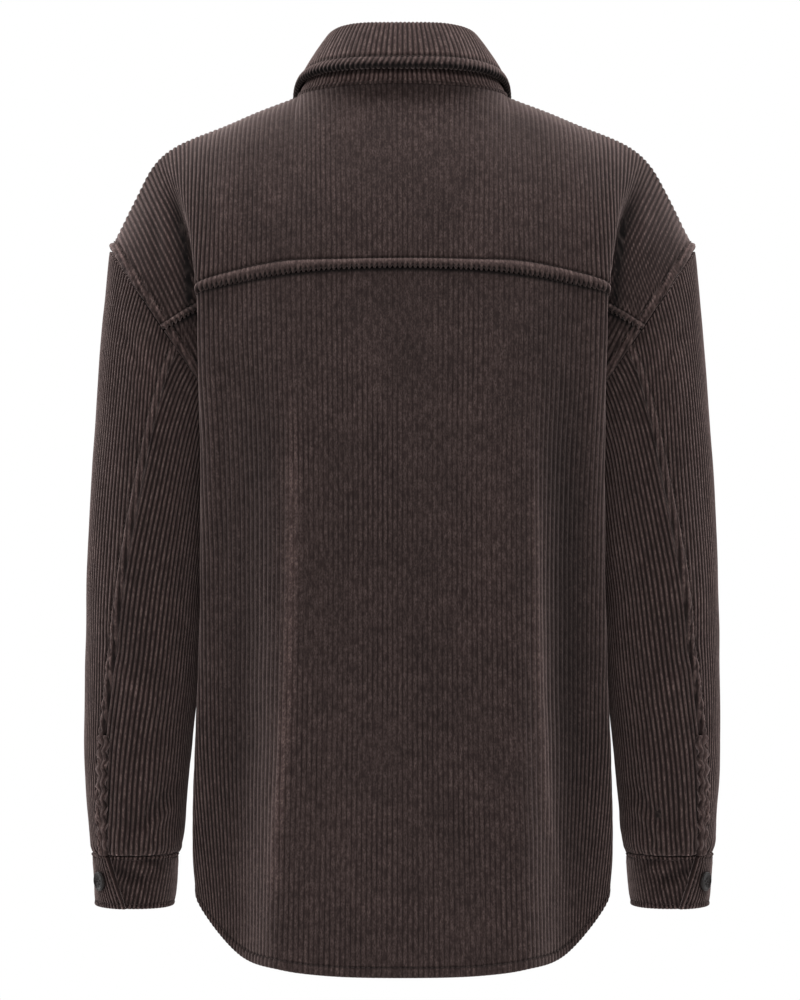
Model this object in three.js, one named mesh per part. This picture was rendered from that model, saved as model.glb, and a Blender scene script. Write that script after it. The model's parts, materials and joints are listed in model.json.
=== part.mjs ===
// A wide-wale corduroy shacket with drop shoulders, filled out as worn, with no wearer in it.
// Millimetres. +X is the wearer's left, the front faces -Y, +Z is up. The origin is the middle of
// the neck opening, level with the points where the neck meets the shoulders.
import * as THREE from 'three';

function table(columns, rows) {
  return rows.map((row) => Object.fromEntries(columns.map((name, i) => [name, row[i]])));
}

// Cloth and seams
const CLOTH = 2.2;          // corduroy, ground and pile
const DOUBLED = 3.2;        // two layers pressed flat, as in a cuff or a collar
const SEAM_GAP = 0.3;
const LAP_LIFT = 1.1;       // how far a lapped seam stands proud
const LAP_WIDTH = 7;
const LAYER = CLOTH + SEAM_GAP;

// Neck opening, and the collar on it
const NECK = { halfX: 84, backY: 62, frontY: 64, sideZ: 3, backRise: 6, frontDrop: 55, frontPower: 1.3 };
const STAND = { topHalfX: 61, topBackY: 54, topFrontY: 61 };
const FOLD_HEIGHT = table(
  ['angle', 'z'],
  [[0, 52], [42, 51.8], [56, 50], [68, 47], [80, 42], [95, 33], [120, 17], [150, -6], [180, -17]],
);

// Armhole, a tilted oval from its outermost point down to the underarm
const ARMHOLE = { topX: 236, topZ: -122, underX: 140, underZ: -262, backY: 62, frontY: 60 };
const BACK_YOKE_ANGLE = 88; // where the yoke seams meet the armhole, in degrees from its top
const FRONT_YOKE_ANGLE = -30;

const PLACKET = { halfX: 16 };
const OVERLAP_SHARE = 0.94; // how far each front passes the middle, as a share of that
const BUTTON = { radius: 7.75, thickness: 3.2, rim: 1.5, dish: 0.9 };
const FRONT_BUTTONS = { first: -86, step: -96, count: 6 };
const VENT = { length: 97, width: 9 };

const CLOTH_COLOUR = 0x3a302f;
const BUTTON_COLOUR = 0x17110f;

// Lines that run down the body, by height. "fold" is the crest that hangs from the shoulder behind
// the arm, "tuck" is the hollow beside it, and "side" is the side seam.
const BODY_BACK = table(
  ['z', 'backY', 'flankX', 'flankY', 'slopeX', 'slopeY', 'foldX', 'foldY', 'tuckX', 'tuckY'],
  [
    [-142, 108, 92, 104, 131, 90, 164, 75, 156, 58],
    [-215, 116, 92, 113, 129, 94, 162, 68, 150, 47],
    [-262, 119, 92, 116, 127, 93, 161, 62, 140, 35],
    [-332, 120, 92, 117, 125, 89, 161, 55, 148, 26],
    [-430, 115, 93, 112, 125, 79, 162, 49, 155, 24],
    [-526, 112, 94, 109, 126, 72, 165.5, 46, 161, 23],
    [-612, 114, 95, 111, 128, 72, 166.5, 47, 163.5, 23],
    [-700, 118, 96, 115, 130, 76, 156, 50, 156, 24],
  ],
);
const BODY_FRONT = table(
  ['z', 'frontY', 'flankX', 'flankY', 'slopeX', 'slopeY', 'foldX', 'foldY', 'tuckX', 'tuckY'],
  [
    [-142, -106, 84, -101, 126, -82, 164, -58, 157, -45],
    [-215, -126, 84, -118, 123, -95, 159, -62, 148, -44],
    [-262, -131, 84, -122, 123, -98, 157, -60, 140, -32],
    [-332, -133, 86, -122, 124, -96, 158, -55, 148, -26],
    [-430, -128, 88, -116, 125, -90, 160, -52, 155, -26],
    [-526, -124, 90, -112, 126, -86, 162, -50, 159, -25],
    [-612, -124, 92, -112, 127, -86, 164, -50, 162, -25],
    [-700, -126, 92, -113, 128, -87, 164, -50, 163, -25],
  ],
);
const BODY_SIDE = table(
  ['z', 'sideX'],
  [[-262, 140], [-300, 143], [-332, 146], [-430, 152], [-526, 158], [-612, 162], [-700, 163]],
);

// Height of the hem on each of those lines: a curved shirt tail
const HEM_BACK = { centre: -698, spine: -696.5, flank: -692, slope: -684, fold: -644, tuck: -628, side: -612 };
const HEM_FRONT = { centre: -668, spine: -667, flank: -664, slope: -655, fold: -630, tuck: -619, side: -612 };

// The yoke: each line from its point on the back seam, over "bend", to the neck or shoulder line
const YOKE_SEAM_Z = { centre: -142, spine: -143.5, flank: -147, slope: -153, fold: -161, tuck: -168 };
const YOKE_LINES = table(
  ['line', 'bendX', 'bendY', 'bendZ', 'topX', 'topY', 'topZ'],
  [
    ['centre', 0, 101, -50, 0, 62, 9],
    ['spine', 62, 97, -45, 64, 40, 7],
    ['flank', 90, 90, -20, 84, 0, 3],
    ['slope', 130, 85, -30, 128, 0, -14.5],
    ['fold', 171, 68, -66, 186, 0, -40],
    ['tuck', 176, 57, -86, 201, 0, -53.5],
    ['drop', 198, 62, -112, 216, 0, -81],
  ],
);
// The front yoke seam, and each line from it over "bend" down to the chest
const FRONT_LINES = table(
  ['line', 'topX', 'topY', 'topZ', 'bendX', 'bendY', 'bendZ'],
  [
    ['centre', 0, -64, -52, 0, -92, -84],
    ['spine', 48, -52, -39, 46, -88, -74],
    ['flank', 80, -20, -9, 83, -80, -36],
    ['slope', 127, -31, -25, 127, -71, -52],
    ['fold', 182, -33, -51, 173, -53, -84],
    ['tuck', 198, -33, -64, 176, -46, -96],
    ['drop', 212, -33, -90, 192, -56, -120],
  ],
);
const CHEST_Z = -142;

// Sleeve rings from the armhole to the cuff seam
const SLEEVE = table(
  ['outerX', 'outerZ', 'innerX', 'innerZ', 'backY', 'frontY'],
  [
    [236, -122, 140, -262, 62, -60],
    [240, -158, 145, -277, 66, -64],
    [245, -215, 151, -304, 68, -66],
    [250, -290, 156, -350, 67, -65],
    [254, -370, 161, -404, 65, -64],
    [256, -445, 165, -462, 62, -63],
    [257, -526, 172, -532, 56, -61],
    [254, -585, 177, -586, 49, -56],
    [252, -609, 180, -609, 45, -52],
  ],
);
// Angle of the sleeve's back seam on each of those rings
const SLEEVE_SEAM_ANGLE = [101, 97, 92, 84, 74, 66, 56, 52, 52];
const CUFF = table(
  ['outerX', 'innerX', 'backY', 'frontY', 'z'],
  [
    [250.5, 181.5, 43.5, -50, -609.4],
    [249.5, 183.5, 42, -48, -630],
    [248, 185.5, 40.5, -46, -652],
  ],
);
const CUFF_END_ANGLE = 66;  // edge of the top layer
const CUFF_OVERLAP = 50;    // degrees that the under layer runs on beneath it
const CUFF_BUTTON_ANGLE = 42;

const point = (x, y, z) => new THREE.Vector3(x, y, z);
const radians = THREE.MathUtils.degToRad;
const mix = THREE.MathUtils.lerp;

// A smooth value at x through rows of (knot, value)
function smooth(knots, values, x) {
  const last = knots.length - 1;
  const rising = knots[last] > knots[0];
  let i = 0;
  while (i < last - 1 && (rising ? x > knots[i + 1] : x < knots[i + 1])) i += 1;
  const slope = (k) => (values[k + 1] - values[k]) / (knots[k + 1] - knots[k]);
  const tangent = (k) => {
    if (k === 0) return slope(0);
    if (k === last) return slope(last - 1);
    const before = knots[k] - knots[k - 1];
    const after = knots[k + 1] - knots[k];
    return (slope(k - 1) * after + slope(k) * before) / (before + after);
  };
  const h = knots[i + 1] - knots[i];
  const f = (x - knots[i]) / h;
  const f2 = f * f;
  const f3 = f2 * f;
  return values[i] * (2 * f3 - 3 * f2 + 1) + h * tangent(i) * (f3 - 2 * f2 + f)
    + values[i + 1] * (3 * f2 - 2 * f3) + h * tangent(i + 1) * (f3 - f2);
}

const column = (rows, name) => rows.map((row) => row[name]);
const atHeight = (rows, name, z) => smooth(column(rows, 'z'), column(rows, name), z);

// A smooth curve through points, where at counts points; it leaves the first one square to the YZ plane
function through(points, at) {
  const first = points[0];
  const mirrored = Math.abs(first.x) < 1e-9 ? [point(-points[1].x, points[1].y, points[1].z)] : [];
  const all = [...mirrored, ...points];
  const knots = [0];
  for (let i = 1; i < all.length; i += 1) {
    knots.push(knots[i - 1] + Math.sqrt(all[i].distanceTo(all[i - 1])));
  }
  const place = Math.min(Math.max(at, 0), points.length - 1) + mirrored.length;
  const i = Math.min(Math.floor(place), all.length - 2);
  const knot = mix(knots[i], knots[i + 1], place - i);
  return point(...['x', 'y', 'z'].map((axis) => smooth(knots, all.map((p) => p[axis]), knot)));
}

function bezier(a, b, c, t) {
  const s = 1 - t;
  return a.clone().multiplyScalar(s * s).addScaledVector(b, 2 * s * t).addScaledVector(c, t * t);
}

// The neck seam: angle 0 at the back, 90 at the side, 180 at the front
function neck(angle) {
  const c = Math.cos(radians(angle));
  const x = NECK.halfX * Math.sin(radians(angle));
  if (c >= 0) return point(x, NECK.backY * c, NECK.sideZ + NECK.backRise * c);
  return point(x, NECK.frontY * c, NECK.sideZ - NECK.frontDrop * (-c) ** NECK.frontPower);
}

function armhole(angle) {
  const c = Math.cos(radians(angle));
  const s = Math.sin(radians(angle));
  const middleX = (ARMHOLE.topX + ARMHOLE.underX) / 2;
  const middleZ = (ARMHOLE.topZ + ARMHOLE.underZ) / 2;
  return point(
    middleX + (ARMHOLE.topX - ARMHOLE.underX) / 2 * c,
    (s > 0 ? ARMHOLE.backY : ARMHOLE.frontY) * s,
    middleZ + (ARMHOLE.topZ - ARMHOLE.underZ) / 2 * c,
  );
}

// Point of the sleeve at an angle (0 outside, 90 back, 180 inside) and a ring number
function sleeve(angle, ring) {
  const rings = SLEEVE.map((_, i) => i);
  const value = (name) => smooth(rings, column(SLEEVE, name), ring);
  const c = Math.cos(radians(angle));
  const s = Math.sin(radians(angle));
  const back = value('backY');
  const front = value('frontY');
  const middleY = (back + front) / 2;
  return point(
    mix(value('innerX'), value('outerX'), (1 + c) / 2),
    middleY + (back - front) / 2 * s,
    mix(value('innerZ'), value('outerZ'), (1 + c) / 2),
  );
}

const sleeveSeamAngle = (ring) => smooth(SLEEVE.map((_, i) => i), SLEEVE_SEAM_ANGLE, ring);

// Share of the way from the yoke seam to the hem where the underarm comes
const BACK_UNDERARM = (ARMHOLE.underZ - YOKE_SEAM_Z.centre) / (HEM_BACK.centre - YOKE_SEAM_Z.centre);
const FRONT_CHEST = 0.2;
const FRONT_UNDERARM = FRONT_CHEST
  + (1 - FRONT_CHEST) * (ARMHOLE.underZ - CHEST_Z) / (HEM_FRONT.centre - CHEST_Z);
const LINES = ['centre', 'spine', 'flank', 'slope', 'fold', 'tuck'];

function bodyLine(rows, middle, line, z) {
  const value = (name) => atHeight(rows, name, z);
  if (line === 'centre') return point(0, value(middle), z);
  if (line === 'spine') return point(value('flankX') * 0.62, mix(value(middle), value('flankY'), 0.25), z);
  return point(value(`${line}X`), value(`${line}Y`), z);
}

// The edge of a body panel: down the armhole, then down the side seam
function panelEdge(t, underarm, firstAngle, hemZ) {
  if (t <= underarm) return armhole(mix(firstAngle, Math.sign(firstAngle) * 180, t / underarm));
  const z = mix(ARMHOLE.underZ, hemZ, (t - underarm) / (1 - underarm));
  return point(atHeight(BODY_SIDE, 'sideX', z), 0, z);
}

// Between the tuck and the edge the cloth rounds out over the arm
function dropPoint(tuck, edge, share, puffY) {
  const middle = tuck.clone().lerp(edge, 0.5);
  middle.y += puffY * share;
  return middle;
}

function backRow(t) {
  const lines = LINES.map((line) => bodyLine(BODY_BACK, 'backY', line, mix(YOKE_SEAM_Z[line], HEM_BACK[line], t)));
  const edge = panelEdge(t, BACK_UNDERARM, BACK_YOKE_ANGLE, HEM_BACK.side);
  const drop = dropPoint(lines[5], edge, Math.max(0, 1 - t / BACK_UNDERARM), 5);
  return [...lines, drop, edge];
}

const backSurface = (u, t) => through(backRow(t), u);

const ridge = YOKE_LINES.slice(2).map((row) => point(row.topX, row.topY, row.topZ)).concat([armhole(0)]);
const frontSeam = FRONT_LINES.slice(2).map((row) => point(row.topX, row.topY, row.topZ))
  .concat([armhole(FRONT_YOKE_ANGLE)]);
const NECK_BACK_ANGLES = [0, 50, 90];
const NECK_FRONT_ANGLES = [180, 145, 108];

function neckOr(angles, beyond, u) {
  if (u <= 2) return neck(smooth([0, 1, 2], angles, u));
  return through(beyond, u - 2);
}

// The yoke behind the shoulder line: t runs from the back seam up to the neck and shoulder
function yokeSurface(u, t) {
  const seam = backRow(0);
  const row = (share) => [
    ...YOKE_LINES.map((line, i) => bezier(
      seam[i],
      point(line.bendX, line.bendY, line.bendZ),
      point(line.topX, line.topY, line.topZ),
      share,
    )),
    armhole(mix(BACK_YOKE_ANGLE, 0, share)),
  ];
  const top = through(row(1), u);
  return through(row(t), u).addScaledVector(neckOr(NECK_BACK_ANGLES, ridge, u).sub(top), t ** 3);
}

// The yoke in front of it: t runs from the shoulder line to the front seam, u from neck to armhole
function yokeFrontSurface(u, t) {
  if (u >= 7) return armhole(mix(0, FRONT_YOKE_ANGLE, t));
  const from = neckOr(NECK_BACK_ANGLES, ridge, u);
  const to = neckOr(NECK_FRONT_ANGLES, frontSeam, u);
  const bend = point((from.x + to.x) / 2, mix(from.y, to.y, 0.6), mix(from.z, to.z, 0.2));
  return bezier(from, bend, to, t);
}

function frontRow(t) {
  const edge = panelEdge(t, FRONT_UNDERARM, FRONT_YOKE_ANGLE, HEM_FRONT.side);
  let lines;
  let tops = [];
  if (t < FRONT_CHEST) {
    tops = FRONT_LINES.map((row) => point(row.topX, row.topY, row.topZ));
    lines = LINES.map((line, i) => bezier(
      tops[i],
      point(FRONT_LINES[i].bendX, FRONT_LINES[i].bendY, FRONT_LINES[i].bendZ),
      bodyLine(BODY_FRONT, 'frontY', line, CHEST_Z),
      t / FRONT_CHEST,
    ));
  } else {
    const share = (t - FRONT_CHEST) / (1 - FRONT_CHEST);
    lines = LINES.map((line) => bodyLine(BODY_FRONT, 'frontY', line, mix(CHEST_Z, HEM_FRONT[line], share)));
  }
  const middle = dropPoint(lines[5], edge, Math.max(0, 1 - t / FRONT_UNDERARM), -5);
  if (t >= FRONT_CHEST) return [...lines, middle, edge];
  const high = FRONT_LINES[6];
  const fromTop = t / FRONT_CHEST;
  return [...lines, point(high.topX, high.topY, high.topZ).lerp(middle, fromTop), edge];
}

function frontSurface(u, t) {
  const fade = Math.max(0, 1 - t / FRONT_CHEST) ** 3;
  const at = through(frontRow(t), u);
  if (fade === 0) return at;
  const top = through(frontRow(0), u);
  return at.addScaledVector(neckOr(NECK_FRONT_ANGLES, frontSeam, u).sub(top), fade);
}

// Outward direction of a surface at (u, t)
function direction(surface, u, t, flip) {
  const step = 1e-4;
  const across = surface(u + step, t).sub(surface(u - step, t));
  const along = surface(u, t + step).sub(surface(u, t - step));
  return across.cross(along).normalize().multiplyScalar(flip ? -1 : 1);
}

// A sheet of cloth before it has a thickness. flip turns its outside over.
function grid(us, ts, surface, flip = false) {
  const points = ts.flatMap((t) => us.map((u) => surface(u, t)));
  const normals = ts.flatMap((t) => us.map((u) => direction(surface, u, t, flip)));
  const faces = [];
  for (let j = 0; j < ts.length - 1; j += 1) {
    for (let i = 0; i < us.length - 1; i += 1) {
      const a = j * us.length + i;
      const b = a + 1;
      const c = a + us.length;
      const d = c + 1;
      faces.push(...(flip ? [[a, c, b], [b, c, d]] : [[a, b, c], [b, d, c]]));
    }
  }
  return { points, normals, faces };
}

const keyOf = (p) => [p.x, p.y, p.z].map((value) => Math.round(value * 1e4)).join();

// Joins sheets that share points along a line
function joined(sheets) {
  const points = [];
  const normals = [];
  const faces = [];
  const places = new Map();
  sheets.forEach((sheet) => {
    const index = sheet.points.map((p, i) => {
      const place = places.get(keyOf(p)) ?? points.length;
      if (place === points.length) {
        places.set(keyOf(p), place);
        points.push(p);
        normals.push(sheet.normals[i]);
      } else normals[place] = normals[place].clone().add(sheet.normals[i]).normalize();
      return place;
    });
    sheet.faces.forEach((face) => faces.push(face.map((i) => index[i])));
  });
  return { points, normals, faces };
}

// Gives a sheet its thickness, inwards. lift(i) raises the outside at point i, as at a lapped seam.
function cloth(name, sheet, { wall = CLOTH, lift = () => 0, colour = CLOTH_COLOUR } = {}) {
  const { normals } = sheet;
  const count = sheet.points.length;
  const outer = sheet.points.map((p, i) => p.clone().addScaledVector(normals[i], lift(i)));
  const inner = sheet.points.map((p, i) => p.clone().addScaledVector(normals[i], -wall));
  const uses = new Map();
  sheet.faces.forEach((face) => face.forEach((a, k) => {
    const b = face[(k + 1) % 3];
    uses.set(`${a},${b}`, [a, b]);
  }));
  const index = sheet.faces.flatMap(([a, b, c]) => [a, b, c, a + count, c + count, b + count]);
  uses.forEach(([a, b]) => {
    if (uses.has(`${b},${a}`)) return;
    index.push(b, a, a + count, b, a + count, b + count);
  });
  const geometry = new THREE.BufferGeometry().setFromPoints([...outer, ...inner]);
  geometry.setIndex(index);
  geometry.computeVertexNormals();
  return meshOf(name, geometry, colour);
}

function meshOf(name, geometry, colour) {
  const finish = colour === BUTTON_COLOUR ? 0.35 : 0.95;
  const mesh = new THREE.Mesh(geometry, new THREE.MeshStandardMaterial({
    color: colour, roughness: finish, metalness: 0, flatShading: false,
  }));
  mesh.name = name;
  return mesh;
}

// Evenly spaced values, with steps[k] of them between stops k and k + 1
function spaced(stops, steps) {
  const values = [stops[0]];
  steps.forEach((count, k) => {
    for (let i = 1; i <= count; i += 1) values.push(mix(stops[k], stops[k + 1], i / count));
  });
  return values;
}

const bothWays = (values) => [...values.slice(1).reverse().map((value) => -value), ...values];
const mirror = (side, p) => point(side * p.x, p.y, p.z);

// The lapped edges: the body's pieces lie over the sleeves, and the yoke over the back
const LAP_U = 6.7;
const EDGE_U = 7 - 0.006;
const PLACKET_U = 0.3;
const PANEL_US = spaced(
  [0, PLACKET_U, 1, 2, 3, 4, 5, 6, LAP_U, LAP_U + 0.05, EDGE_U],
  [1, 1, 2, 2, 2, 2, 2, 1, 1, 1],
);

// Along a seam both pieces take the same outward direction, half way between their own
function backSeamNormal(u) {
  return direction(backSurface, u, 0.002).add(direction(yokeSurface, u, 0.002, true)).normalize();
}

function frontSeamNormal(u) {
  return direction(frontSurface, u, 0.01, true).add(direction(yokeFrontSurface, u, 0.98, true)).normalize();
}

function backPanel() {
  const ts = BACK_TS;
  const us = bothWays(PANEL_US);
  const sheet = grid(us, ts, (u, t) => mirror(Math.sign(u) || 1, backSurface(Math.abs(u), t)));
  us.forEach((u, i) => sheet.normals[i].copy(mirror(Math.sign(u) || 1, backSeamNormal(Math.abs(u)))));
  const lift = (i) => {
    const t = ts[Math.floor(i / us.length)];
    return Math.abs(us[i % us.length]) > LAP_U + 0.01 && t < BACK_UNDERARM ? LAP_LIFT : 0;
  };
  return cloth('back', sheet, { lift });
}

function yoke() {
  const seamHeight = YOKE_LINES[0].topZ - YOKE_SEAM_Z.centre;
  const lap = LAP_WIDTH / seamHeight;
  const gap = SEAM_GAP * 2.4 / seamHeight;
  const ts = spaced([gap, lap, lap + 0.008, 1], [1, 1, 9]);
  const us = bothWays(PANEL_US);
  const behind = grid(us, ts, (u, t) => mirror(Math.sign(u) || 1, yokeSurface(Math.abs(u), t)), true);
  us.forEach((u, i) => {
    const normal = mirror(Math.sign(u) || 1, backSeamNormal(Math.abs(u)));
    [0, 1, 2].forEach((j) => behind.normals[j * us.length + i].copy(normal));
  });
  const shoulderUs = PANEL_US.filter((u) => u >= 2);
  const frontTs = spaced([0, 0.78, 0.82, 0.99], [3, 1, 1]);
  const infront = [1, -1].map((side) => grid(
    shoulderUs,
    frontTs,
    (u, t) => mirror(side, t === 0 ? yokeSurface(u, 1) : yokeFrontSurface(u, t)),
    side > 0,
  ));
  infront.forEach((part, k) => shoulderUs.forEach((u, i) => {
    const last = part.points.length - shoulderUs.length;
    part.normals[last + i].copy(mirror(k === 0 ? 1 : -1, frontSeamNormal(u)));
  }));
  const sheet = joined([behind, ...infront]);
  const raised = new Set();
  behind.points.forEach((p, i) => {
    const u = Math.abs(us[i % us.length]);
    const seamed = ts[Math.floor(i / us.length)] < lap + 0.001 && Math.abs(u - 4.9) > 0.5;
    if (u > LAP_U + 0.01 || seamed) raised.add(keyOf(p));
  });
  infront.forEach((part) => part.points.forEach((p, i) => {
    const edge = shoulderUs[i % shoulderUs.length] > LAP_U + 0.01;
    if (edge || frontTs[Math.floor(i / shoulderUs.length)] > 0.81) raised.add(keyOf(p));
  }));
  const lift = (i) => (raised.has(keyOf(sheet.points[i])) ? LAP_LIFT : 0);
  return cloth('yoke', sheet, { lift });
}

const BACK_TS = spaced([0.0004, BACK_UNDERARM * 0.8, BACK_UNDERARM, 1], [4, 2, 9]);
const FRONT_TS = spaced([0.003, FRONT_CHEST, FRONT_UNDERARM, 1], [5, 4, 7]);

// The front's surface carried on past the middle, u below 0
function frontPast(u, t) {
  const p = frontSurface(Math.abs(u), t);
  if (u < 0) p.x *= -1;
  return p;
}

// A front panel runs past the middle. The wearer's left one goes under the other.
function frontPanel(name, side) {
  const ts = FRONT_TS;
  const past = PANEL_US.filter((u) => u > 0 && u <= PLACKET_U).map((u) => -u * OVERLAP_SHARE).reverse();
  const us = [...past, ...PANEL_US];
  const surface = (u, t) => {
    const p = frontPast(u, t);
    const tucked = side > 0 ? 1 - THREE.MathUtils.smoothstep(p.x, PLACKET.halfX + 2, PLACKET.halfX + 30) : 0;
    return mirror(side, p.addScaledVector(frontMiddle(t).out, -(LAYER + 0.3) * tucked));
  };
  const sheet = grid(us, ts, surface, side > 0);
  us.forEach((u, i) => {
    if (u >= 2) sheet.normals[i].copy(mirror(side, frontSeamNormal(u)));
  });
  const lift = (i) => {
    const edge = us[i % us.length] > LAP_U + 0.01 && ts[Math.floor(i / us.length)] < FRONT_UNDERARM;
    return edge ? LAP_LIFT : 0;
  };
  return cloth(name, sheet, { lift });
}

// Middle front line of the outside, with its outward direction
function frontMiddle(t) {
  const p = frontSurface(0, t);
  const along = frontSurface(0, Math.min(t + 0.005, 1)).sub(frontSurface(0, Math.max(t - 0.005, 0)));
  return { p, out: point(0, along.z, -along.y).normalize() };
}

function shareAtHeight(z) {
  let low = 0;
  let high = 1;
  for (let i = 0; i < 40; i += 1) {
    const middle = (low + high) / 2;
    if (frontSurface(0, middle).z > z) low = middle;
    else high = middle;
  }
  return low;
}

function placket() {
  const us = bothWays(PANEL_US.filter((u) => u <= PLACKET_U));
  const surface = (u, t) => frontPast(u, t).addScaledVector(direction(frontPast, u, t, true), LAYER);
  return cloth('placket_right', grid(us, FRONT_TS, surface, true));
}

// Plain shape between the neck seam and the fold line: angle as for the neck, share 0 at the seam
function standSurface(angle, share) {
  const turn = Math.min(Math.abs(angle), 360 - Math.abs(angle));
  const base = neck(turn);
  const c = Math.cos(radians(angle));
  const topY = c >= 0 ? STAND.topBackY * c : STAND.topFrontY * c;
  const topZ = smooth(column(FOLD_HEIGHT, 'angle'), column(FOLD_HEIGHT, 'z'), turn);
  const top = point(STAND.topHalfX * Math.abs(Math.sin(radians(angle))), topY, topZ);
  const p = base.lerp(top, share);
  p.x *= Math.sign(Math.sin(radians(angle))) || 1;
  return p;
}

function collarStand() {
  const reach = 180 + 11;
  const angles = spaced([-reach, -150, 0, 150, reach], [4, 14, 14, 4]);
  const surface = (angle, share) => {
    const p = standSurface(angle, share);
    const tucked = THREE.MathUtils.smoothstep(angle, 150, 172);
    const inwards = point(p.x, p.y, 0).normalize().multiplyScalar(-(DOUBLED + 0.5) * tucked);
    return p.add(inwards);
  };
  return cloth('collar_stand', grid(angles, spaced([0.03, 1], [3]), surface, true), { wall: DOUBLED });
}

// Outer edge of the turned-down collar, from the middle of the back to the collar point
const COLLAR_EDGE = table(
  ['x', 'y', 'z'],
  [[0, 76, 19], [42, 70, 19], [72, 42, 17], [87, 2, 9], [87, -42, -17], [70, -84, -52], [48, -112, -88]],
);
const COLLAR_ROLL = { inside: -2.8, top: 4.6, outside: 5.2 };

function collarSurface(u, share) {
  const side = Math.sign(u) || 1;
  const along = Math.abs(u);
  const angle = along * 172;
  const fold = standSurface(angle, 1);
  const outward = point(fold.x, fold.y, 0).normalize();
  const lifted = (out, up) => fold.clone().addScaledVector(outward, out).add(point(0, 0, up));
  const edge = through(COLLAR_EDGE.map((row) => point(row.x, row.y, row.z)), along * (COLLAR_EDGE.length - 1));
  const shoulder = lifted(COLLAR_ROLL.outside, COLLAR_ROLL.top * 0.2);
  const fall = shoulder.clone().lerp(edge, 0.5).addScaledVector(outward, 1.5);
  const path = [
    lifted(COLLAR_ROLL.inside, COLLAR_ROLL.top * 0.86),
    lifted(COLLAR_ROLL.outside * 0.3, COLLAR_ROLL.top),
    shoulder,
    fall,
    edge,
  ];
  return mirror(side, through(path, share * (path.length - 1)));
}

function collarFall() {
  const us = bothWays(spaced([0, 0.5, 1], [7, 8]));
  const sheet = grid(us, spaced([0, 0.5, 1], [3, 4]), (u, share) => collarSurface(u, 1 - share), true);
  return cloth('collar_fall', sheet, { wall: DOUBLED });
}

function sleevePiece(name, side, which) {
  const last = SLEEVE.length - 1;
  const rings = spaced([0.06, 1, last], [2, 14]);
  const gap = 0.17;
  const limits = (ring) => {
    const seam = sleeveSeamAngle(ring);
    return which === 'back' ? [180 - gap, seam + gap] : [seam - gap, -180 + gap];
  };
  const steps = which === 'back' ? 7 : 19;
  const surface = (share, ring) => {
    const [from, to] = limits(ring);
    return mirror(side, sleeve(mix(from, to, share), ring));
  };
  const sheet = grid(spaced([0, 1], [steps]), rings, surface, side < 0);
  return cloth(name, sheet);
}

function cuffSurface(angle, height) {
  const value = (name) => smooth([0, 0.5, 1], column(CUFF, name), height);
  const c = Math.cos(radians(angle));
  const s = Math.sin(radians(angle));
  const middleY = (value('backY') + value('frontY')) / 2;
  return point(
    mix(value('innerX'), value('outerX'), (1 + c) / 2),
    middleY + (value('backY') - value('frontY')) / 2 * s,
    value('z'),
  );
}

// The cuff starts at its top end, runs round the outside and front, and ends beneath that end
function cuff(name, side) {
  const turn = 360 + CUFF_OVERLAP;
  const shares = spaced([0, 1], [28]);
  const surface = (share, height) => {
    const angle = CUFF_END_ANGLE - share * turn;
    const p = cuffSurface(angle, height);
    const middle = cuffSurface(0, height).lerp(cuffSurface(180, height), 0.5);
    const past = THREE.MathUtils.smoothstep(share * turn, 270, 352);
    p.addScaledVector(middle.sub(p).normalize(), (DOUBLED + 0.6) * past);
    return mirror(side, p);
  };
  return cloth(name, grid(shares, spaced([0, 1], [3]), surface, side < 0), { wall: DOUBLED });
}

// The strip that binds the sleeve's opening above the cuff, laid along the sleeve's back seam
function ventBinding(name, side) {
  const last = SLEEVE.length - 1;
  const ringAt = (z) => {
    let ring = last;
    while (sleeve(sleeveSeamAngle(ring), ring).z < z) ring -= 0.005;
    return ring;
  };
  const bottom = last - 0.02;
  const top = ringAt(SLEEVE[last].outerZ + VENT.length);
  const halfTurn = VENT.width / 2 / 0.85;
  const surface = (across, share) => {
    const ring = mix(top, bottom, share);
    const angle = sleeveSeamAngle(ring) - across * halfTurn * 1.1;
    const p = sleeve(angle, ring);
    const round = sleeve(angle - 1, ring).sub(p);
    const down = sleeve(angle, ring + 0.01).sub(p);
    return mirror(side, p.addScaledVector(round.cross(down).normalize(), LAYER - 0.4));
  };
  const sheet = grid(spaced([-1, 1], [3]), spaced([0, 1], [7]), surface, side < 0);
  return cloth(name, sheet, { wall: CLOTH - 0.5 });
}

// A flat button with a raised rim, its back at the origin and its face along +Y before it is placed
function buttonGeometry() {
  const { radius, thickness, rim, dish } = BUTTON;
  const profile = [
    [0, 0], [radius - 1.2, 0], [radius, 1], [radius, thickness - 0.9], [radius - 0.8, thickness],
    [radius - rim, thickness], [radius - rim - 0.9, thickness - dish], [0, thickness - dish],
  ].map(([r, h]) => new THREE.Vector2(r, h));
  return new THREE.LatheGeometry(profile, 18);
}

function button(name, at, out) {
  const mesh = meshOf(name, buttonGeometry(), BUTTON_COLOUR);
  mesh.quaternion.setFromUnitVectors(point(0, 1, 0), out.clone().normalize());
  mesh.position.copy(at).addScaledVector(out.clone().normalize(), SEAM_GAP);
  return mesh;
}

function frontButtons() {
  return Array.from({ length: FRONT_BUTTONS.count }, (_, i) => {
    const t = shareAtHeight(FRONT_BUTTONS.first + i * FRONT_BUTTONS.step);
    const { p, out } = frontMiddle(t);
    return button(`button_front_${i + 1}`, p.addScaledVector(out, LAYER), out);
  });
}

function standButton() {
  const p = standSurface(180, 0.5);
  const out = point(0, p.z - standSurface(180, 0.6).z, standSurface(180, 0.6).y - p.y).normalize();
  if (out.y > 0) out.negate();
  p.x = 0;
  return button('button_collar', p, out);
}

function cuffButton(name, side) {
  const p = cuffSurface(CUFF_BUTTON_ANGLE, 0.5);
  const round = cuffSurface(CUFF_BUTTON_ANGLE - 1, 0.5).sub(p);
  const down = cuffSurface(CUFF_BUTTON_ANGLE, 0.6).sub(p);
  const out = round.cross(down).normalize();
  return button(name, mirror(side, p.addScaledVector(out, 0.4)), mirror(side, out));
}

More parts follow.
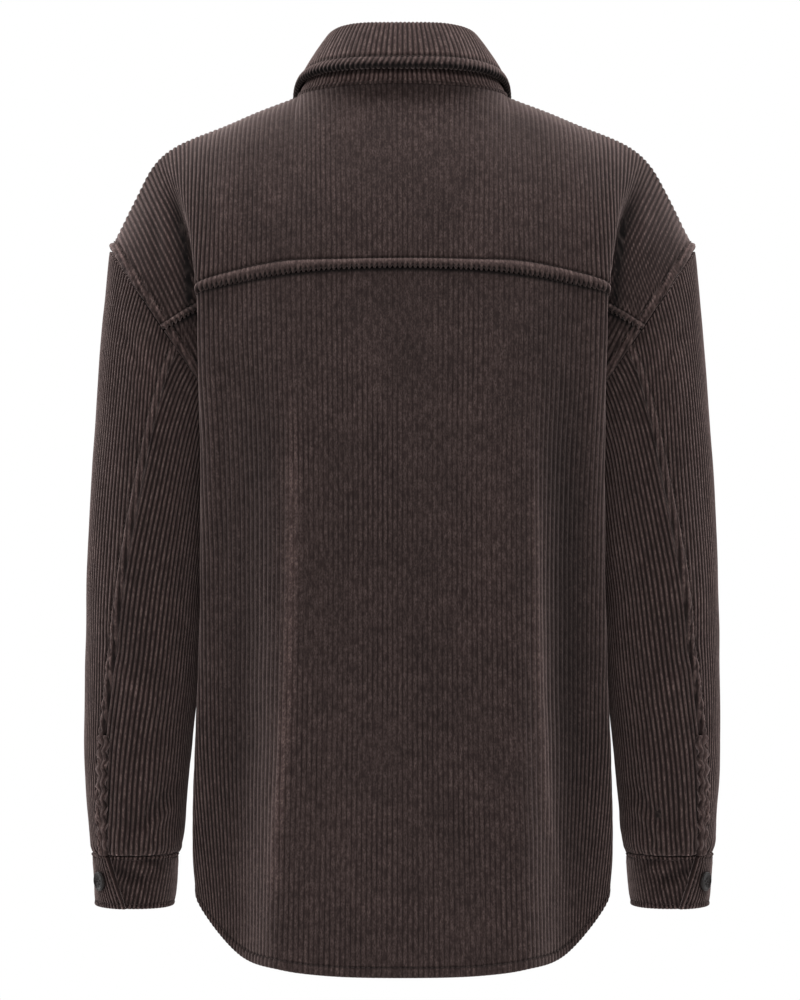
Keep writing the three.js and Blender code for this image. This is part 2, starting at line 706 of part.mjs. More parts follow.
const shacket = new THREE.Group();
shacket.add(backPanel(), yoke(), frontPanel('front_left', 1), frontPanel('front_right', -1), placket());
shacket.add(collarStand(), collarFall(), standButton(), ...frontButtons());
[['left', 1], ['right', -1]].forEach(([name, side]) => {
  shacket.add(sleevePiece(`sleeve_main_${name}`, side, 'main'));
  shacket.add(sleevePiece(`sleeve_back_${name}`, side, 'back'));
  shacket.add(ventBinding(`vent_binding_${name}`, side));
  shacket.add(cuff(`cuff_${name}`, side));
  shacket.add(cuffButton(`button_cuff_${name}`, side));
});

export default shacket;
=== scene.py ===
"""A wide-wale corduroy shacket, filled out as worn and seen from behind.

The cloth is laid on the same lines as the solids, in millimetres, and turned to metres as each mesh is made.
"""
import json
import math

import bmesh
import bpy
import numpy as np
from mathutils import Matrix, Vector

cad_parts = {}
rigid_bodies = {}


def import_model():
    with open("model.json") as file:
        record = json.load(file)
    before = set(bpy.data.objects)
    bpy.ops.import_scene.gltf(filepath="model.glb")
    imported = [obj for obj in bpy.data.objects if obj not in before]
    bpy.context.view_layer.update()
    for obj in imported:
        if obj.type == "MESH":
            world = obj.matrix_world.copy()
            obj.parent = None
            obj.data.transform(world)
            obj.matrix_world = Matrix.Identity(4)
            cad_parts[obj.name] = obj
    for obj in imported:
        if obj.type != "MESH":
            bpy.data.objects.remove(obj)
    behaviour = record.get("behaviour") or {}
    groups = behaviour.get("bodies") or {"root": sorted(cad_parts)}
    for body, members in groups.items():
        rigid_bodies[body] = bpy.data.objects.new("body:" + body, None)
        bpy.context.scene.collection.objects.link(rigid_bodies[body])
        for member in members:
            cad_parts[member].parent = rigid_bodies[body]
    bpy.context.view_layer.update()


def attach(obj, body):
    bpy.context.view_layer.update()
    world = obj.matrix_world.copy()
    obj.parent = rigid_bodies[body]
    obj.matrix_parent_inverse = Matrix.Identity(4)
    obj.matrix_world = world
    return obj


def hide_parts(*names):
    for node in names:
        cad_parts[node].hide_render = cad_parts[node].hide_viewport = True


MM = 0.001

# Walls of cloth, with LAYER from one piece to the next that lies on it
CLOTH = 2.0
DOUBLED = 3.2
LAYER = 2.5
SEAM_GAP = 0.3
CUT_EDGE = 1.2
SAME_POINT = 0.004

# Wales: their pitch, their height, and columns of points to each
WALE = 4.0
WALE_HEIGHT = 0.85
STEPS_PER_WALE = 5

# How far depth counts in a length across the body, so that wales stay even where the cloth turns forward
DEPTH_SHARE = 0.45

# Laps, hems and rows of stitches, by distance from the edge
LAP_LIFT = 1.1
LAP_WIDTH = 7.0
LAP_STITCH = LAP_WIDTH + 0.5
LAP_PUFF = 1.3
PUCKER_LENGTH = 11.5
WAVE_LENGTH = 9.5
HEM_STITCH = 8
PLACKET_STITCH = 5
COLLAR_STITCH = 6.9
CUFF_TOP_STITCH = 3
CUFF_STITCH = 4
STITCH_LENGTH = 3.1
STITCH_GAP = 1.0
THREAD = 0.7
THREAD_LIFT = 0.42


def table(columns, rows):
    """Named columns of numbers, a row for each level, ring or line."""
    return dict(zip(columns.split(), np.array(rows, float).T))


NECK = dict(half_x=84, back_y=62, front_y=64, side_z=3, back_rise=6, front_drop=55, front_power=1.3)
STAND = dict(half_x=61, back_y=54, front_y=61)
FOLD_HEIGHT = table("angle z", [
    (0, 52), (42, 51.8), (56, 50), (68, 47), (80, 42), (95, 33), (120, 17), (150, -6), (180, -17)])
ARMHOLE = dict(top_x=236, top_z=-122, under_x=140, under_z=-262, back_y=62, front_y=60)
BACK_YOKE_ANGLE = 88
FRONT_YOKE_ANGLE = -30
PLACKET_U = 0.3
OVERLAP_SHARE = 0.94

# Lines down the body, by height: the fold hangs from the shoulder behind the arm, the tuck is beside it
BODY_BACK = table("z middle_y flank_x flank_y slope_x slope_y fold_x fold_y tuck_x tuck_y", [
    (-142, 108, 92, 104, 131, 90, 164, 75, 156, 58),
    (-215, 116, 92, 113, 129, 94, 162, 68, 150, 47),
    (-262, 119, 92, 116, 127, 93, 161, 62, 140, 35),
    (-332, 120, 92, 117, 125, 89, 161, 55, 148, 26),
    (-430, 115, 93, 112, 125, 79, 162, 49, 155, 24),
    (-526, 112, 94, 109, 126, 72, 165.5, 46, 161, 23),
    (-612, 114, 95, 111, 128, 72, 166.5, 47, 163.5, 23),
    (-700, 118, 96, 115, 130, 76, 156, 50, 156, 24)])
BODY_FRONT = table("z middle_y flank_x flank_y slope_x slope_y fold_x fold_y tuck_x tuck_y", [
    (-142, -106, 84, -101, 126, -82, 164, -58, 157, -45),
    (-215, -126, 84, -118, 123, -95, 159, -62, 148, -44),
    (-262, -131, 84, -122, 123, -98, 157, -60, 140, -32),
    (-332, -133, 86, -122, 124, -96, 158, -55, 148, -26),
    (-430, -128, 88, -116, 125, -90, 160, -52, 155, -26),
    (-526, -124, 90, -112, 126, -86, 162, -50, 159, -25),
    (-612, -124, 92, -112, 127, -86, 164, -50, 162, -25),
    (-700, -126, 92, -113, 128, -87, 164, -50, 163, -25)])
BODY_SIDE = table("z x", [
    (-262, 140), (-300, 143), (-332, 146), (-430, 152), (-526, 158), (-612, 162), (-700, 163)])
LINES = ("centre", "spine", "flank", "slope", "fold", "tuck")
HEM_BACK = dict(centre=-698, spine=-696.5, flank=-692, slope=-684, fold=-644, tuck=-628, side=-612)
HEM_FRONT = dict(centre=-668, spine=-667, flank=-664, slope=-655, fold=-630, tuck=-619, side=-612)
YOKE_SEAM_Z = dict(centre=-142, spine=-143.5, flank=-147, slope=-153, fold=-161, tuck=-168)
YOKE_LINES = table("bend_x bend_y bend_z top_x top_y top_z", [
    (0, 101, -50, 0, 62, 9),
    (62, 97, -45, 64, 40, 7),
    (90, 90, -20, 84, 0, 3),
    (130, 85, -30, 128, 0, -14.5),
    (171, 68, -66, 186, 0, -40),
    (176, 57, -86, 201, 0, -53.5),
    (198, 62, -112, 216, 0, -81)])
FRONT_LINES = table("top_x top_y top_z bend_x bend_y bend_z", [
    (0, -64, -52, 0, -92, -84),
    (48, -52, -39, 46, -88, -74),
    (80, -20, -9, 83, -80, -36),
    (127, -31, -25, 127, -71, -52),
    (182, -33, -51, 173, -53, -84),
    (198, -33, -64, 176, -46, -96),
    (212, -33, -90, 192, -56, -120)])
CHEST_Z = -142
SLEEVE = table("outer_x outer_z inner_x inner_z back_y front_y seam_angle", [
    (236, -122, 140, -262, 62, -60, 101),
    (240, -158, 145, -277, 66, -64, 97),
    (245, -215, 151, -304, 68, -66, 92),
    (250, -290, 156, -350, 67, -65, 84),
    (254, -370, 161, -404, 65, -64, 74),
    (256, -445, 165, -462, 62, -63, 66),
    (257, -526, 172, -532, 56, -61, 56),
    (254, -585, 177, -586, 49, -56, 52),
    (252, -609, 180, -609, 45, -52, 52)])
CUFF = table("outer_x inner_x back_y front_y z", [
    (250.5, 181.5, 43.5, -50, -609.4),
    (249.5, 183.5, 42, -48, -630),
    (248, 185.5, 40.5, -46, -652)])
CUFF_END_ANGLE = 66
CUFF_OVERLAP = 50
CUFF_BUTTON_ANGLE = 42
VENT_LENGTH = 97
VENT_HALF_TURN = 5.8235
COLLAR_EDGE = np.array([
    (0, 76, 19), (42, 70, 19), (72, 42, 17), (87, 2, 9),
    (87, -42, -17), (70, -84, -52), (48, -112, -88)], float)
COLLAR_END = 172
COLLAR_ROLL = dict(inside=-2.8, top=4.6, outside=5.2)

BUTTON = dict(radius=7.75, thickness=3.2, rim=1.5, dish=0.9, hole=0.85, hole_out=1.5)
FRONT_BUTTONS = dict(first=-86, step=-96, count=6)


def smooth(knots, values, x):
    """Values at x on a smooth line through each knot's value."""
    knots = np.asarray(knots, float)
    values = np.asarray(values, float)
    x = np.asarray(x, float)
    if knots[0] > knots[-1]:
        knots, x = -knots, -x
    flat = values.ndim == 1
    if flat:
        values = values[:, None]
    step = np.diff(knots)
    slope = np.diff(values, axis=0) / step[:, None]
    middle = (slope[:-1] * step[1:, None] + slope[1:] * step[:-1, None]) / (step[:-1] + step[1:])[:, None]
    tangent = np.vstack([slope[:1], middle, slope[-1:]])
    i = np.clip(np.searchsorted(knots, x, side="right") - 1, 0, len(step) - 1)
    h = step[i][..., None]
    f = (x - knots[i])[..., None] / h
    out = values[i] * (2 * f**3 - 3 * f**2 + 1) + h * tangent[i] * (f**3 - 2 * f**2 + f)
    out = out + values[i + 1] * (3 * f**2 - 2 * f**3) + h * tangent[i + 1] * (f**3 - f**2)
    return out[..., 0] if flat else out


def through(points, at):
    """Points on a smooth curve, where at counts its points; from the middle plane it leaves squarely."""
    points = np.asarray(points, float)
    mirrored = int(abs(points[0][0]) < 1e-9)
    if mirrored:
        points = np.vstack([points[1:2] * (-1, 1, 1), points])
    knots = np.concatenate([[0], np.cumsum(np.sqrt(np.linalg.norm(np.diff(points, axis=0), axis=1)))])
    place = np.clip(np.asarray(at, float), 0, len(points) - 1 - mirrored) + mirrored
    i = np.minimum(place.astype(int), len(points) - 2)
    return smooth(knots, points, knots[i] + (knots[i + 1] - knots[i]) * (place - i))


def mix(a, b, share):
    """From a, at share 0, to b, at share 1."""
    return a + (b - a) * share


def ease(low, high, x):
    """0 below low, 1 above high, and smooth between them."""
    f = np.clip((np.asarray(x, float) - low) / (high - low), 0, 1)
    return f * f * (3 - 2 * f)


def bezier(a, b, c, share):
    """A curve from a to c that is drawn towards b."""
    return (1 - share) ** 2 * a + 2 * share * (1 - share) * b + share**2 * c


def unit(vectors):
    return vectors / np.maximum(np.linalg.norm(vectors, axis=-1, keepdims=True), 1e-12)


def neck(angle):
    """The neck seam: 0 at the back, 90 at the side, 180 at the front."""
    c = np.cos(np.radians(angle))
    y = np.where(c >= 0, NECK["back_y"], NECK["front_y"]) * c
    drop = NECK["front_drop"] * np.maximum(-c, 0) ** NECK["front_power"]
    z = NECK["side_z"] + NECK["back_rise"] * np.maximum(c, 0) - drop
    return np.stack([NECK["half_x"] * np.sin(np.radians(angle)), y, z], -1)


def armhole(angle):
    """A tilted oval: 0 at its outermost point, 90 at the back, 180 at the underarm."""
    c = np.cos(np.radians(angle))
    s = np.sin(np.radians(angle))
    a = ARMHOLE
    x = mix(a["under_x"], a["top_x"], (1 + c) / 2)
    z = mix(a["under_z"], a["top_z"], (1 + c) / 2)
    return np.stack([x, np.where(s > 0, a["back_y"], a["front_y"]) * s, z], -1)


def sleeve(angle, ring):
    """Points round the sleeve at one ring: 0 outside, 90 back, 180 inside."""
    rings = np.arange(len(SLEEVE["outer_x"]))
    value = {name: smooth(rings, column, ring) for name, column in SLEEVE.items()}
    c = np.cos(np.radians(angle))
    s = np.sin(np.radians(angle))
    y = (value["back_y"] + value["front_y"]) / 2 + (value["back_y"] - value["front_y"]) / 2 * s
    x = mix(value["inner_x"], value["outer_x"], (1 + c) / 2)
    return np.stack([x, y, mix(value["inner_z"], value["outer_z"], (1 + c) / 2)], -1)


def seam_angle(ring):
    """Where the seam down the back of the sleeve runs, at each ring."""
    return smooth(np.arange(len(SLEEVE["seam_angle"])), SLEEVE["seam_angle"], ring)


BACK_UNDERARM = (ARMHOLE["under_z"] - YOKE_SEAM_Z["centre"]) / (HEM_BACK["centre"] - YOKE_SEAM_Z["centre"])
FRONT_CHEST = 0.2
FRONT_UNDERARM = FRONT_CHEST + (
    (1 - FRONT_CHEST) * (ARMHOLE["under_z"] - CHEST_Z) / (HEM_FRONT["centre"] - CHEST_Z))
NECK_BACK_ANGLES = (0, 50, 90)
NECK_FRONT_ANGLES = (180, 145, 108)


def body_line(rows, line, z):
    """The point where one of the lines down the body passes a height."""
    value = {name: smooth(rows["z"], column, z) for name, column in rows.items()}
    if line == "centre":
        return np.array([0, value["middle_y"], z])
    if line == "spine":
        return np.array([value["flank_x"] * 0.62, mix(value["middle_y"], value["flank_y"], 0.25), z])
    return np.array([value[line + "_x"], value[line + "_y"], z])


def panel_edge(t, underarm, first_angle, hem_z):
    """Down the armhole, then down the side seam."""
    if t <= underarm:
        return armhole(mix(first_angle, math.copysign(180, first_angle), t / underarm))
    z = mix(ARMHOLE["under_z"], hem_z, (t - underarm) / (1 - underarm))
    return np.array([smooth(BODY_SIDE["z"], BODY_SIDE["x"], z), 0, z])


def drop_point(tuck, edge, share, puff):
    """Halfway from the tuck to the armhole, puffed out where the shoulder drops."""
    return (tuck + edge) / 2 + np.array([0, puff * share, 0])


def back_row(t):
    """Points across half the back: t runs from the yoke's seam to the hem."""
    lines = [body_line(BODY_BACK, line, mix(YOKE_SEAM_Z[line], HEM_BACK[line], t)) for line in LINES]
    edge = panel_edge(t, BACK_UNDERARM, BACK_YOKE_ANGLE, HEM_BACK["side"])
    return lines + [drop_point(lines[5], edge, max(0, 1 - t / BACK_UNDERARM), 5), edge]


def columns_of(rows, name):
    return np.stack([rows[name + "_x"], rows[name + "_y"], rows[name + "_z"]], -1)


RIDGE = np.vstack([columns_of(YOKE_LINES, "top")[2:], armhole(0)])
FRONT_SEAM = np.vstack([columns_of(FRONT_LINES, "top")[2:], armhole(FRONT_YOKE_ANGLE)])


def neck_or(angles, beyond, us):
    """On the neck seam for the first two lines, and along a shoulder line beyond them."""
    on_neck = neck(smooth((0, 1, 2), angles, np.minimum(us, 2)))
    return np.where((us <= 2)[:, None], on_neck, through(beyond, us - 2))


def back_surface(us, t):
    return through(back_row(t), us)


def yoke_surface(us, t):
    """Behind the shoulder line: t runs from the back seam up to the neck and the shoulder."""
    seam = np.array(back_row(0))[:7]

    def row(share):
        lines = bezier(seam, columns_of(YOKE_LINES, "bend"), columns_of(YOKE_LINES, "top"), share)
        return np.vstack([lines, armhole(mix(BACK_YOKE_ANGLE, 0, share))])

    return through(row(t), us) + (neck_or(NECK_BACK_ANGLES, RIDGE, us) - through(row(1), us)) * t**3


def yoke_front_surface(us, t):
    """In front of the shoulder line: t runs from it to the front seam."""
    start = neck_or(NECK_BACK_ANGLES, RIDGE, us)
    end = neck_or(NECK_FRONT_ANGLES, FRONT_SEAM, us)
    bend = mix(start, end, np.array([0.5, 0.6, 0.2]))
    return np.where((us >= 7)[:, None], armhole(mix(0, FRONT_YOKE_ANGLE, t)), bezier(start, bend, end, t))


def front_row(t):
    """Points across half the front: t runs from the yoke's front seam to the hem."""
    edge = panel_edge(t, FRONT_UNDERARM, FRONT_YOKE_ANGLE, HEM_FRONT["side"])
    if t < FRONT_CHEST:
        chest = np.array([body_line(BODY_FRONT, line, CHEST_Z) for line in LINES])
        tops = columns_of(FRONT_LINES, "top")
        lines = list(bezier(tops[:6], columns_of(FRONT_LINES, "bend")[:6], chest, t / FRONT_CHEST))
    else:
        share = (t - FRONT_CHEST) / (1 - FRONT_CHEST)
        lines = [body_line(BODY_FRONT, line, mix(CHEST_Z, HEM_FRONT[line], share)) for line in LINES]
    middle = drop_point(lines[5], edge, max(0, 1 - t / FRONT_UNDERARM), -5)
    if t < FRONT_CHEST:
        middle = mix(tops[6], middle, t / FRONT_CHEST)
    return lines + [middle, edge]


def front_surface(us, t):
    """Either side of the middle of the front, where us is below 0 past the middle."""
    at = through(front_row(t), np.abs(us))
    fade = max(0, 1 - t / FRONT_CHEST) ** 3
    if fade:
        top = through(front_row(0), np.abs(us))
        at = at + (neck_or(NECK_FRONT_ANGLES, FRONT_SEAM, np.abs(us)) - top) * fade
    return at * np.stack([np.sign(us) + (us == 0), np.ones_like(us), np.ones_like(us)], -1)


def stand_surface(angles, share):
    """From the neck seam, share 0, to the fold of the collar, share 1."""
    turn = np.minimum(np.abs(angles), 360 - np.abs(angles))
    c = np.cos(np.radians(angles))
    y = np.where(c >= 0, STAND["back_y"], STAND["front_y"]) * c
    top = np.stack([STAND["half_x"] * np.abs(np.sin(np.radians(angles))), y,
                    smooth(FOLD_HEIGHT["angle"], FOLD_HEIGHT["z"], turn)], -1)
    at = mix(neck(turn), top, share)
    at[:, 0] *= np.sign(np.sin(np.radians(angles))) + (angles == 0)
    return at


def collar_path(us):
    """Five points over the roll of the collar, for each place along it from -1 to 1."""
    along = np.abs(us)
    fold = stand_surface(along * COLLAR_END, 1)
    outward = unit(fold * (1, 1, 0))
    up = np.array([0, 0, 1])
    edge = through(COLLAR_EDGE, along * (len(COLLAR_EDGE) - 1))
    roll = COLLAR_ROLL
    shoulder = fold + outward * roll["outside"] + up * roll["top"] * 0.2
    fall = (shoulder + edge) / 2 + outward * 1.5
    path = np.stack([
        fold + outward * roll["inside"] + up * roll["top"] * 0.86,
        fold + outward * roll["outside"] * 0.3 + up * roll["top"], shoulder, fall, edge], 1)
    return path * np.stack([np.where(us < 0, -1, 1), np.ones_like(us), np.ones_like(us)], -1)[:, None, :]


def cuff_surface(angles, height):
    """Points round the cuff: height runs from its upper edge, 0, to its lower, 1."""
    value = {name: smooth((0, 0.5, 1), column, height) for name, column in CUFF.items()}
    c = np.cos(np.radians(angles))
    s = np.sin(np.radians(angles))
    y = (value["back_y"] + value["front_y"]) / 2 + (value["back_y"] - value["front_y"]) / 2 * s
    return np.stack([mix(value["inner_x"], value["outer_x"], (1 + c) / 2), y, value["z"] + 0 * c], -1)


# Laying cloth on the lines

def wavering(seed, rows, columns, row_step, column_step):
    """Smooth unevenness from -1 to 1 over a grid, with bumps as far apart as the steps."""
    draw = np.random.default_rng(seed)
    coarse = draw.uniform(-1, 1, (max(int(rows / row_step) + 3, 3), max(int(columns / column_step) + 3, 3)))
    down = smooth(np.arange(len(coarse)), coarse, np.linspace(0.5, len(coarse) - 1.5, rows))
    across = smooth(np.arange(coarse.shape[1]), down.T, np.linspace(0.5, coarse.shape[1] - 1.5, columns))
    return across.T


def rows_at(length, step, fine_start=(), fine_end=()):
    """Shares of a length for its rows: one every step, and closer ones by distance from either end."""
    places = list(np.linspace(0, length, max(int(length / step), 2) + 1))
    near = max(fine_start, default=0)
    far = length - max(fine_end, default=0)
    places = [p for p in places if near + step * 0.4 < p < far - step * 0.4]
    places += [0, length] + list(fine_start) + [length - p for p in fine_end]
    return np.array(sorted(set(round(p, 6) for p in places))) / length


def lay(surface, us, ts, outward=1, depth=1.0):
    """Close points, outward directions, and lengths along each row, in which y counts by depth."""
    points = np.array([surface(us, t) for t in ts])
    across = np.gradient(points, axis=1)
    down = np.gradient(points, np.asarray(ts), axis=0)
    normals = unit(np.cross(across, down)) * outward
    steps = np.linalg.norm(np.diff(points, axis=1) * (1, depth, 1), axis=2)
    lengths = np.concatenate([np.zeros((len(ts), 1)), np.cumsum(steps, axis=1)], axis=1)
    return points, normals, lengths


def pick(grid, us, wanted):
    """Values of a laid grid at the wanted places of each of its rows."""
    place = np.interp(wanted, us, np.arange(len(us)))
    i = np.minimum(place.astype(int), len(us) - 2)
    f = place - i
    row = np.arange(len(grid))[:, None]
    if grid.ndim == 3:
        f = f[..., None]
    return grid[row, i] * (1 - f) + grid[row, i + 1] * f


def follow_wales(points, normals, wales, us, phases):
    """A sheet whose columns follow the wales: phases are in wales, the same for every row."""
    wanted = np.array([np.interp(phases, row, us) for row in wales])
    base = pick(points, us, wanted)
    down = np.linalg.norm(np.diff(base, axis=0), axis=2)
    along = np.concatenate([np.zeros((1, len(phases))), np.cumsum(down, axis=0)])
    shown = np.clip(phases[None, :], wales[:, :1], wales[:, -1:])
    return dict(
        base=base, out=unit(pick(normals, us, wanted)), wale=shown, along=along,
        raised=np.zeros(base.shape[:2]), bloom=np.zeros(base.shape[:2]),
        edge_low=(shown - wales[:, :1]) * WALE, edge_high=(wales[:, -1:] - shown) * WALE)


def rounded(distance, radius):
    """How far a rounded edge falls away, by distance from it."""
    f = np.clip(distance / radius, 0, 1)
    return radius * (np.sqrt(np.maximum(1 - (1 - f) ** 2, 0)) - 1)


def hump(distance, place, width):
    """1 at a place, and less the further from it on either side."""
    return np.exp(-(((distance - place) / width) ** 2))


def raise_pile(sheet, height):
    """Lifts the outer side of a sheet off its base."""
    sheet["raised"] = sheet["raised"] + height


def paint_light_and_shade(sheet, paler):
    """Paints light into the cloth's colour, or painted shade below 0."""
    sheet["bloom"] = sheet["bloom"] + paler


def sewn(sheet, away, place, width=0.9, depth=0.7, shown=1.0):
    """A furrow of stitches, with painted shade in it and painted highlight on either side."""
    raise_pile(sheet, -depth * shown * hump(away, place, width))
    furrow_shade = 0.5 * hump(away, place, width * 1.1)
    side_highlight = 0.16 * hump(np.abs(away - place), 2.6, 1.1)
    paint_light_and_shade(sheet, shown * (side_highlight - furrow_shade))
    return sheet


def creased(sheet, lines):
    """Adds soft ridges and furrows along lines of (x, z) points, each painted with light, with painted shade
    below 0: side 1 is behind, and -1 in front.
    """
    at = sheet["base"][..., [0, 2]]
    for side, width, height, bloom, *points in lines:
        nearest = np.full(at.shape[:2], np.inf)
        place = np.zeros(at.shape[:2])
        length = 0.0
        for a, b in zip(np.array(points, float), np.array(points[1:], float)):
            run = b - a
            part = np.clip(((at - a) @ run) / (run @ run), 0, 1)
            off = np.linalg.norm(at - a - part[..., None] * run, axis=-1)
            place = np.where(off < nearest, length + part * np.linalg.norm(run), place)
            nearest = np.minimum(nearest, off)
            length += np.linalg.norm(run)
        ends = ease(0, 0.28, place / length) * (1 - ease(0.72, 1, place / length))
        shape = hump(nearest, 0, width) * ends * ease(-0.1, 0.3, sheet["out"][..., 1] * side)
        raise_pile(sheet, height * shape)
        paint_light_and_shade(sheet, bloom * shape)
    return sheet


def give_wales(sheet, seed, height=WALE_HEIGHT, slack=0.5, depth_and_shade=0.0):
    """Raises uneven wales over cloth that isn't quite flat: deep ones are taller, with painted shade in
    their grooves and painted light over the rest.
    """
    rows, columns = sheet["base"].shape[:2]
    worn = 1 + 0.16 * wavering(seed, rows, columns, 5, STEPS_PER_WALE * 1.5)
    shift = 0.055 * wavering(seed + 1, rows, columns, 7, STEPS_PER_WALE * 2) + sheet.get("lean", 0)
    crest = np.abs(np.sin(math.pi * (sheet["wale"] + shift))) ** 0.75
    soft = slack * wavering(seed + 2, rows, columns, 9, STEPS_PER_WALE * 8)
    pressed = 0.6 * sheet.get("pressed", 0)
    narrow = crest ** (1 + 0.8 * np.maximum(depth_and_shade, 0))
    # Painted shade in the grooves of deep wales, less where the wales are pressed flat
    sheet["nap"] = mix(narrow - 0.5 * depth_and_shade * (1 - narrow), 0.7, pressed)
    sheet["bloom"] = np.maximum(sheet["bloom"] - 0.6 * depth_and_shade * (1 - narrow) + 0.42 * depth_and_shade, -0.96)
    tall = height * (1 + 0.3 * np.maximum(depth_and_shade, 0))
    raise_pile(sheet, (crest - 0.55) * tall * worn * (1 - pressed) + soft)
    return sheet


def mirrored(sheet):
    """The sheet on the wearer's other side."""
    other = {name: value.copy() for name, value in sheet.items()}
    other["base"] = other["base"] * (-1, 1, 1)
    other["out"] = other["out"] * (-1, 1, 1)
    return other


def start_of(sheets):
    """The number of each sheet's first point, where the sheets' points are counted together."""
    return np.concatenate([[0], np.cumsum([sheet["wale"].size for sheet in sheets])[:-1]])


def plain_side(rows, columns):
    """For each point of a sheet, the one its plain side uses: a column for each wale, all at the ends."""
    row, column = np.mgrid[0:rows, 0:columns]
    near = np.clip(np.round(column / STEPS_PER_WALE).astype(int) * STEPS_PER_WALE, 0, columns - 1)
    at_end = (row == 0) | (row == rows - 1) | (column == 0) | (column == columns - 1)
    return (row * columns + np.where(at_end, column, near)).ravel()


def gathered(sheets, key, size=1):
    """One quantity of several sheets, a row for each point."""
    return np.concatenate([sheet[key].reshape(-1, size) for sheet in sheets])


def cloth_piece(name, sheets, wall=CLOTH):
    """A closed wall of cloth over sheets of points, joined where their edges meet."""
    bm = bmesh.new()
    place = bm.verts.layers.int.new("place")
    inside = bm.verts.layers.int.new("inside")
    start = 0
    for sheet in sheets:
        rows, columns = sheet["base"].shape[:2]
        made = bmesh.ops.create_grid(bm, x_segments=columns - 1, y_segments=rows - 1, size=0.5)
        base = sheet["base"].reshape(-1, 3) * MM
        for vert in made["verts"]:
            row = round((vert.co.y + 0.5) * (rows - 1))
            index = row * columns + round((vert.co.x + 0.5) * (columns - 1))
            vert[place] = start + index
            vert.co = base[index]
        start += rows * columns
    bmesh.ops.remove_doubles(bm, verts=bm.verts[:], dist=SAME_POINT * MM)
    grown = bmesh.ops.extrude_face_region(bm, geom=bm.faces[:], use_keep_orig=True)
    for vert in grown["geom"]:
        if isinstance(vert, bmesh.types.BMVert):
            vert[inside] = 1
    base = gathered(sheets, "base", 3)
    out = gathered(sheets, "out", 3)
    outer = (base + out * gathered(sheets, "raised")) * MM
    plain = np.concatenate(
        [plain_side(*sheet["base"].shape[:2]) + first for sheet, first in zip(sheets, start_of(sheets))])
    inner = ((base - out * wall) * MM)[plain]
    for vert in bm.verts:
        vert.co = inner[vert[place]] if vert[inside] else outer[vert[place]]
    bmesh.ops.remove_doubles(bm, verts=[vert for vert in bm.verts if vert[inside]], dist=SAME_POINT * MM)
    for face in bm.faces:
        face.smooth = True
        face.material_index = int(all(vert[inside] for vert in face.verts))
    bmesh.ops.recalc_face_normals(bm, faces=bm.faces[:])
    mesh = bpy.data.meshes.new(name)
    bm.to_mesh(mesh)
    bm.free()
    places = np.empty(len(mesh.vertices), int)
    mesh.attributes["place"].data.foreach_get("value", places)
    corners = np.empty(len(mesh.loops), int)
    mesh.loops.foreach_get("vertex_index", corners)
    laid = np.concatenate([gathered(sheets, "wale") * WALE * MM, gathered(sheets, "along") * MM], axis=1)
    mesh.uv_layers.new(name="cloth").data.foreach_set("uv", laid[places][corners].ravel())
    # The painted light and shade, and the painted groove shade, go to the shader as attributes
    for shade in ("nap", "bloom"):
        values = gathered(sheets, shade).ravel()[places]
        mesh.attributes.new(shade, "FLOAT", "POINT").data.foreach_set("value", values)
    for used in ("place", "inside"):
        mesh.attributes.remove(mesh.attributes[used])
    return placed(name, mesh, [CORDUROY, CORDUROY_INSIDE])


def placed(name, mesh, materials):
    """Puts a finished mesh in the scene, as a piece of the garment."""
    piece = bpy.data.objects.new(name, mesh)
    bpy.context.collection.objects.link(piece)
    for material in materials:
        mesh.materials.append(material)
    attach(piece, "root")
    return piece


# Threads

def stitches(name, runs):
    """One joined mesh of short stitches along each run of (points, outward directions)."""
    bm = bmesh.new()
    for points, normals in runs:
        gaps = np.linalg.norm(np.diff(points, axis=0), axis=1)
        lengths = np.concatenate([[0], np.cumsum(gaps)])
        count = int(lengths[-1] / (STITCH_LENGTH + STITCH_GAP))
        pitch = lengths[-1] / max(count, 1)
        for i in range(count):
            ends = (np.array([0, 1]) * STITCH_LENGTH + (pitch - STITCH_LENGTH) / 2) + i * pitch
            a, b = (np.array([np.interp(end, lengths, points[:, k]) for k in range(3)]) for end in ends)
            out = Vector([np.interp(ends.mean(), lengths, normals[:, k]) for k in range(3)])
            run = Vector(b - a)
            side = out.cross(run).normalized()
            up = run.cross(side).normalized()
            turn = Matrix((run.normalized(), side, up)).transposed().to_4x4()
            size = Matrix.Diagonal((run.length / 2 * MM, THREAD / 2 * MM, THREAD / 2 * MM, 1))
            move = Matrix.Translation(Vector((a + b) / 2 * MM))
            bmesh.ops.create_icosphere(bm, subdivisions=1, radius=1, matrix=move @ turn @ size)
    mesh = bpy.data.meshes.new(name)
    bm.to_mesh(mesh)
    bm.free()
    for polygon in mesh.polygons:
        polygon.use_smooth = True
    return placed(name, mesh, [THREAD_MATERIAL])


def row_run(sheet, row_at, keep=None):
    """A run of points along a sheet, between rows, at a fractional row number."""
    i = min(int(row_at), len(sheet["base"]) - 2)
    f = row_at - i
    outside = sheet["base"] + sheet["out"] * (sheet["raised"] + THREAD_LIFT)[..., None]
    points = mix(outside[i], outside[i + 1], f)
    normals = mix(sheet["out"][i], sheet["out"][i + 1], f)
    if keep is not None:
        points, normals = points[keep], normals[keep]
    return points, normals


def edge_run(sheet, distance, rows, key="edge_high"):
    """A run of points at a distance from a sheet's cut edge, down some of its rows."""
    outside = sheet["base"] + sheet["out"] * sheet["raised"][..., None]
    points, normals = [], []
    for row in rows:
        away = sheet[key][row]
        order = np.argsort(away)
        points.append([np.interp(distance, away[order], outside[row][order, k]) for k in range(3)])
        normals.append([np.interp(distance, away[order], sheet["out"][row][order, k]) for k in range(3)])
    normals = unit(np.array(normals))
    return np.array(points) + normals * THREAD_LIFT, normals


# Finishes

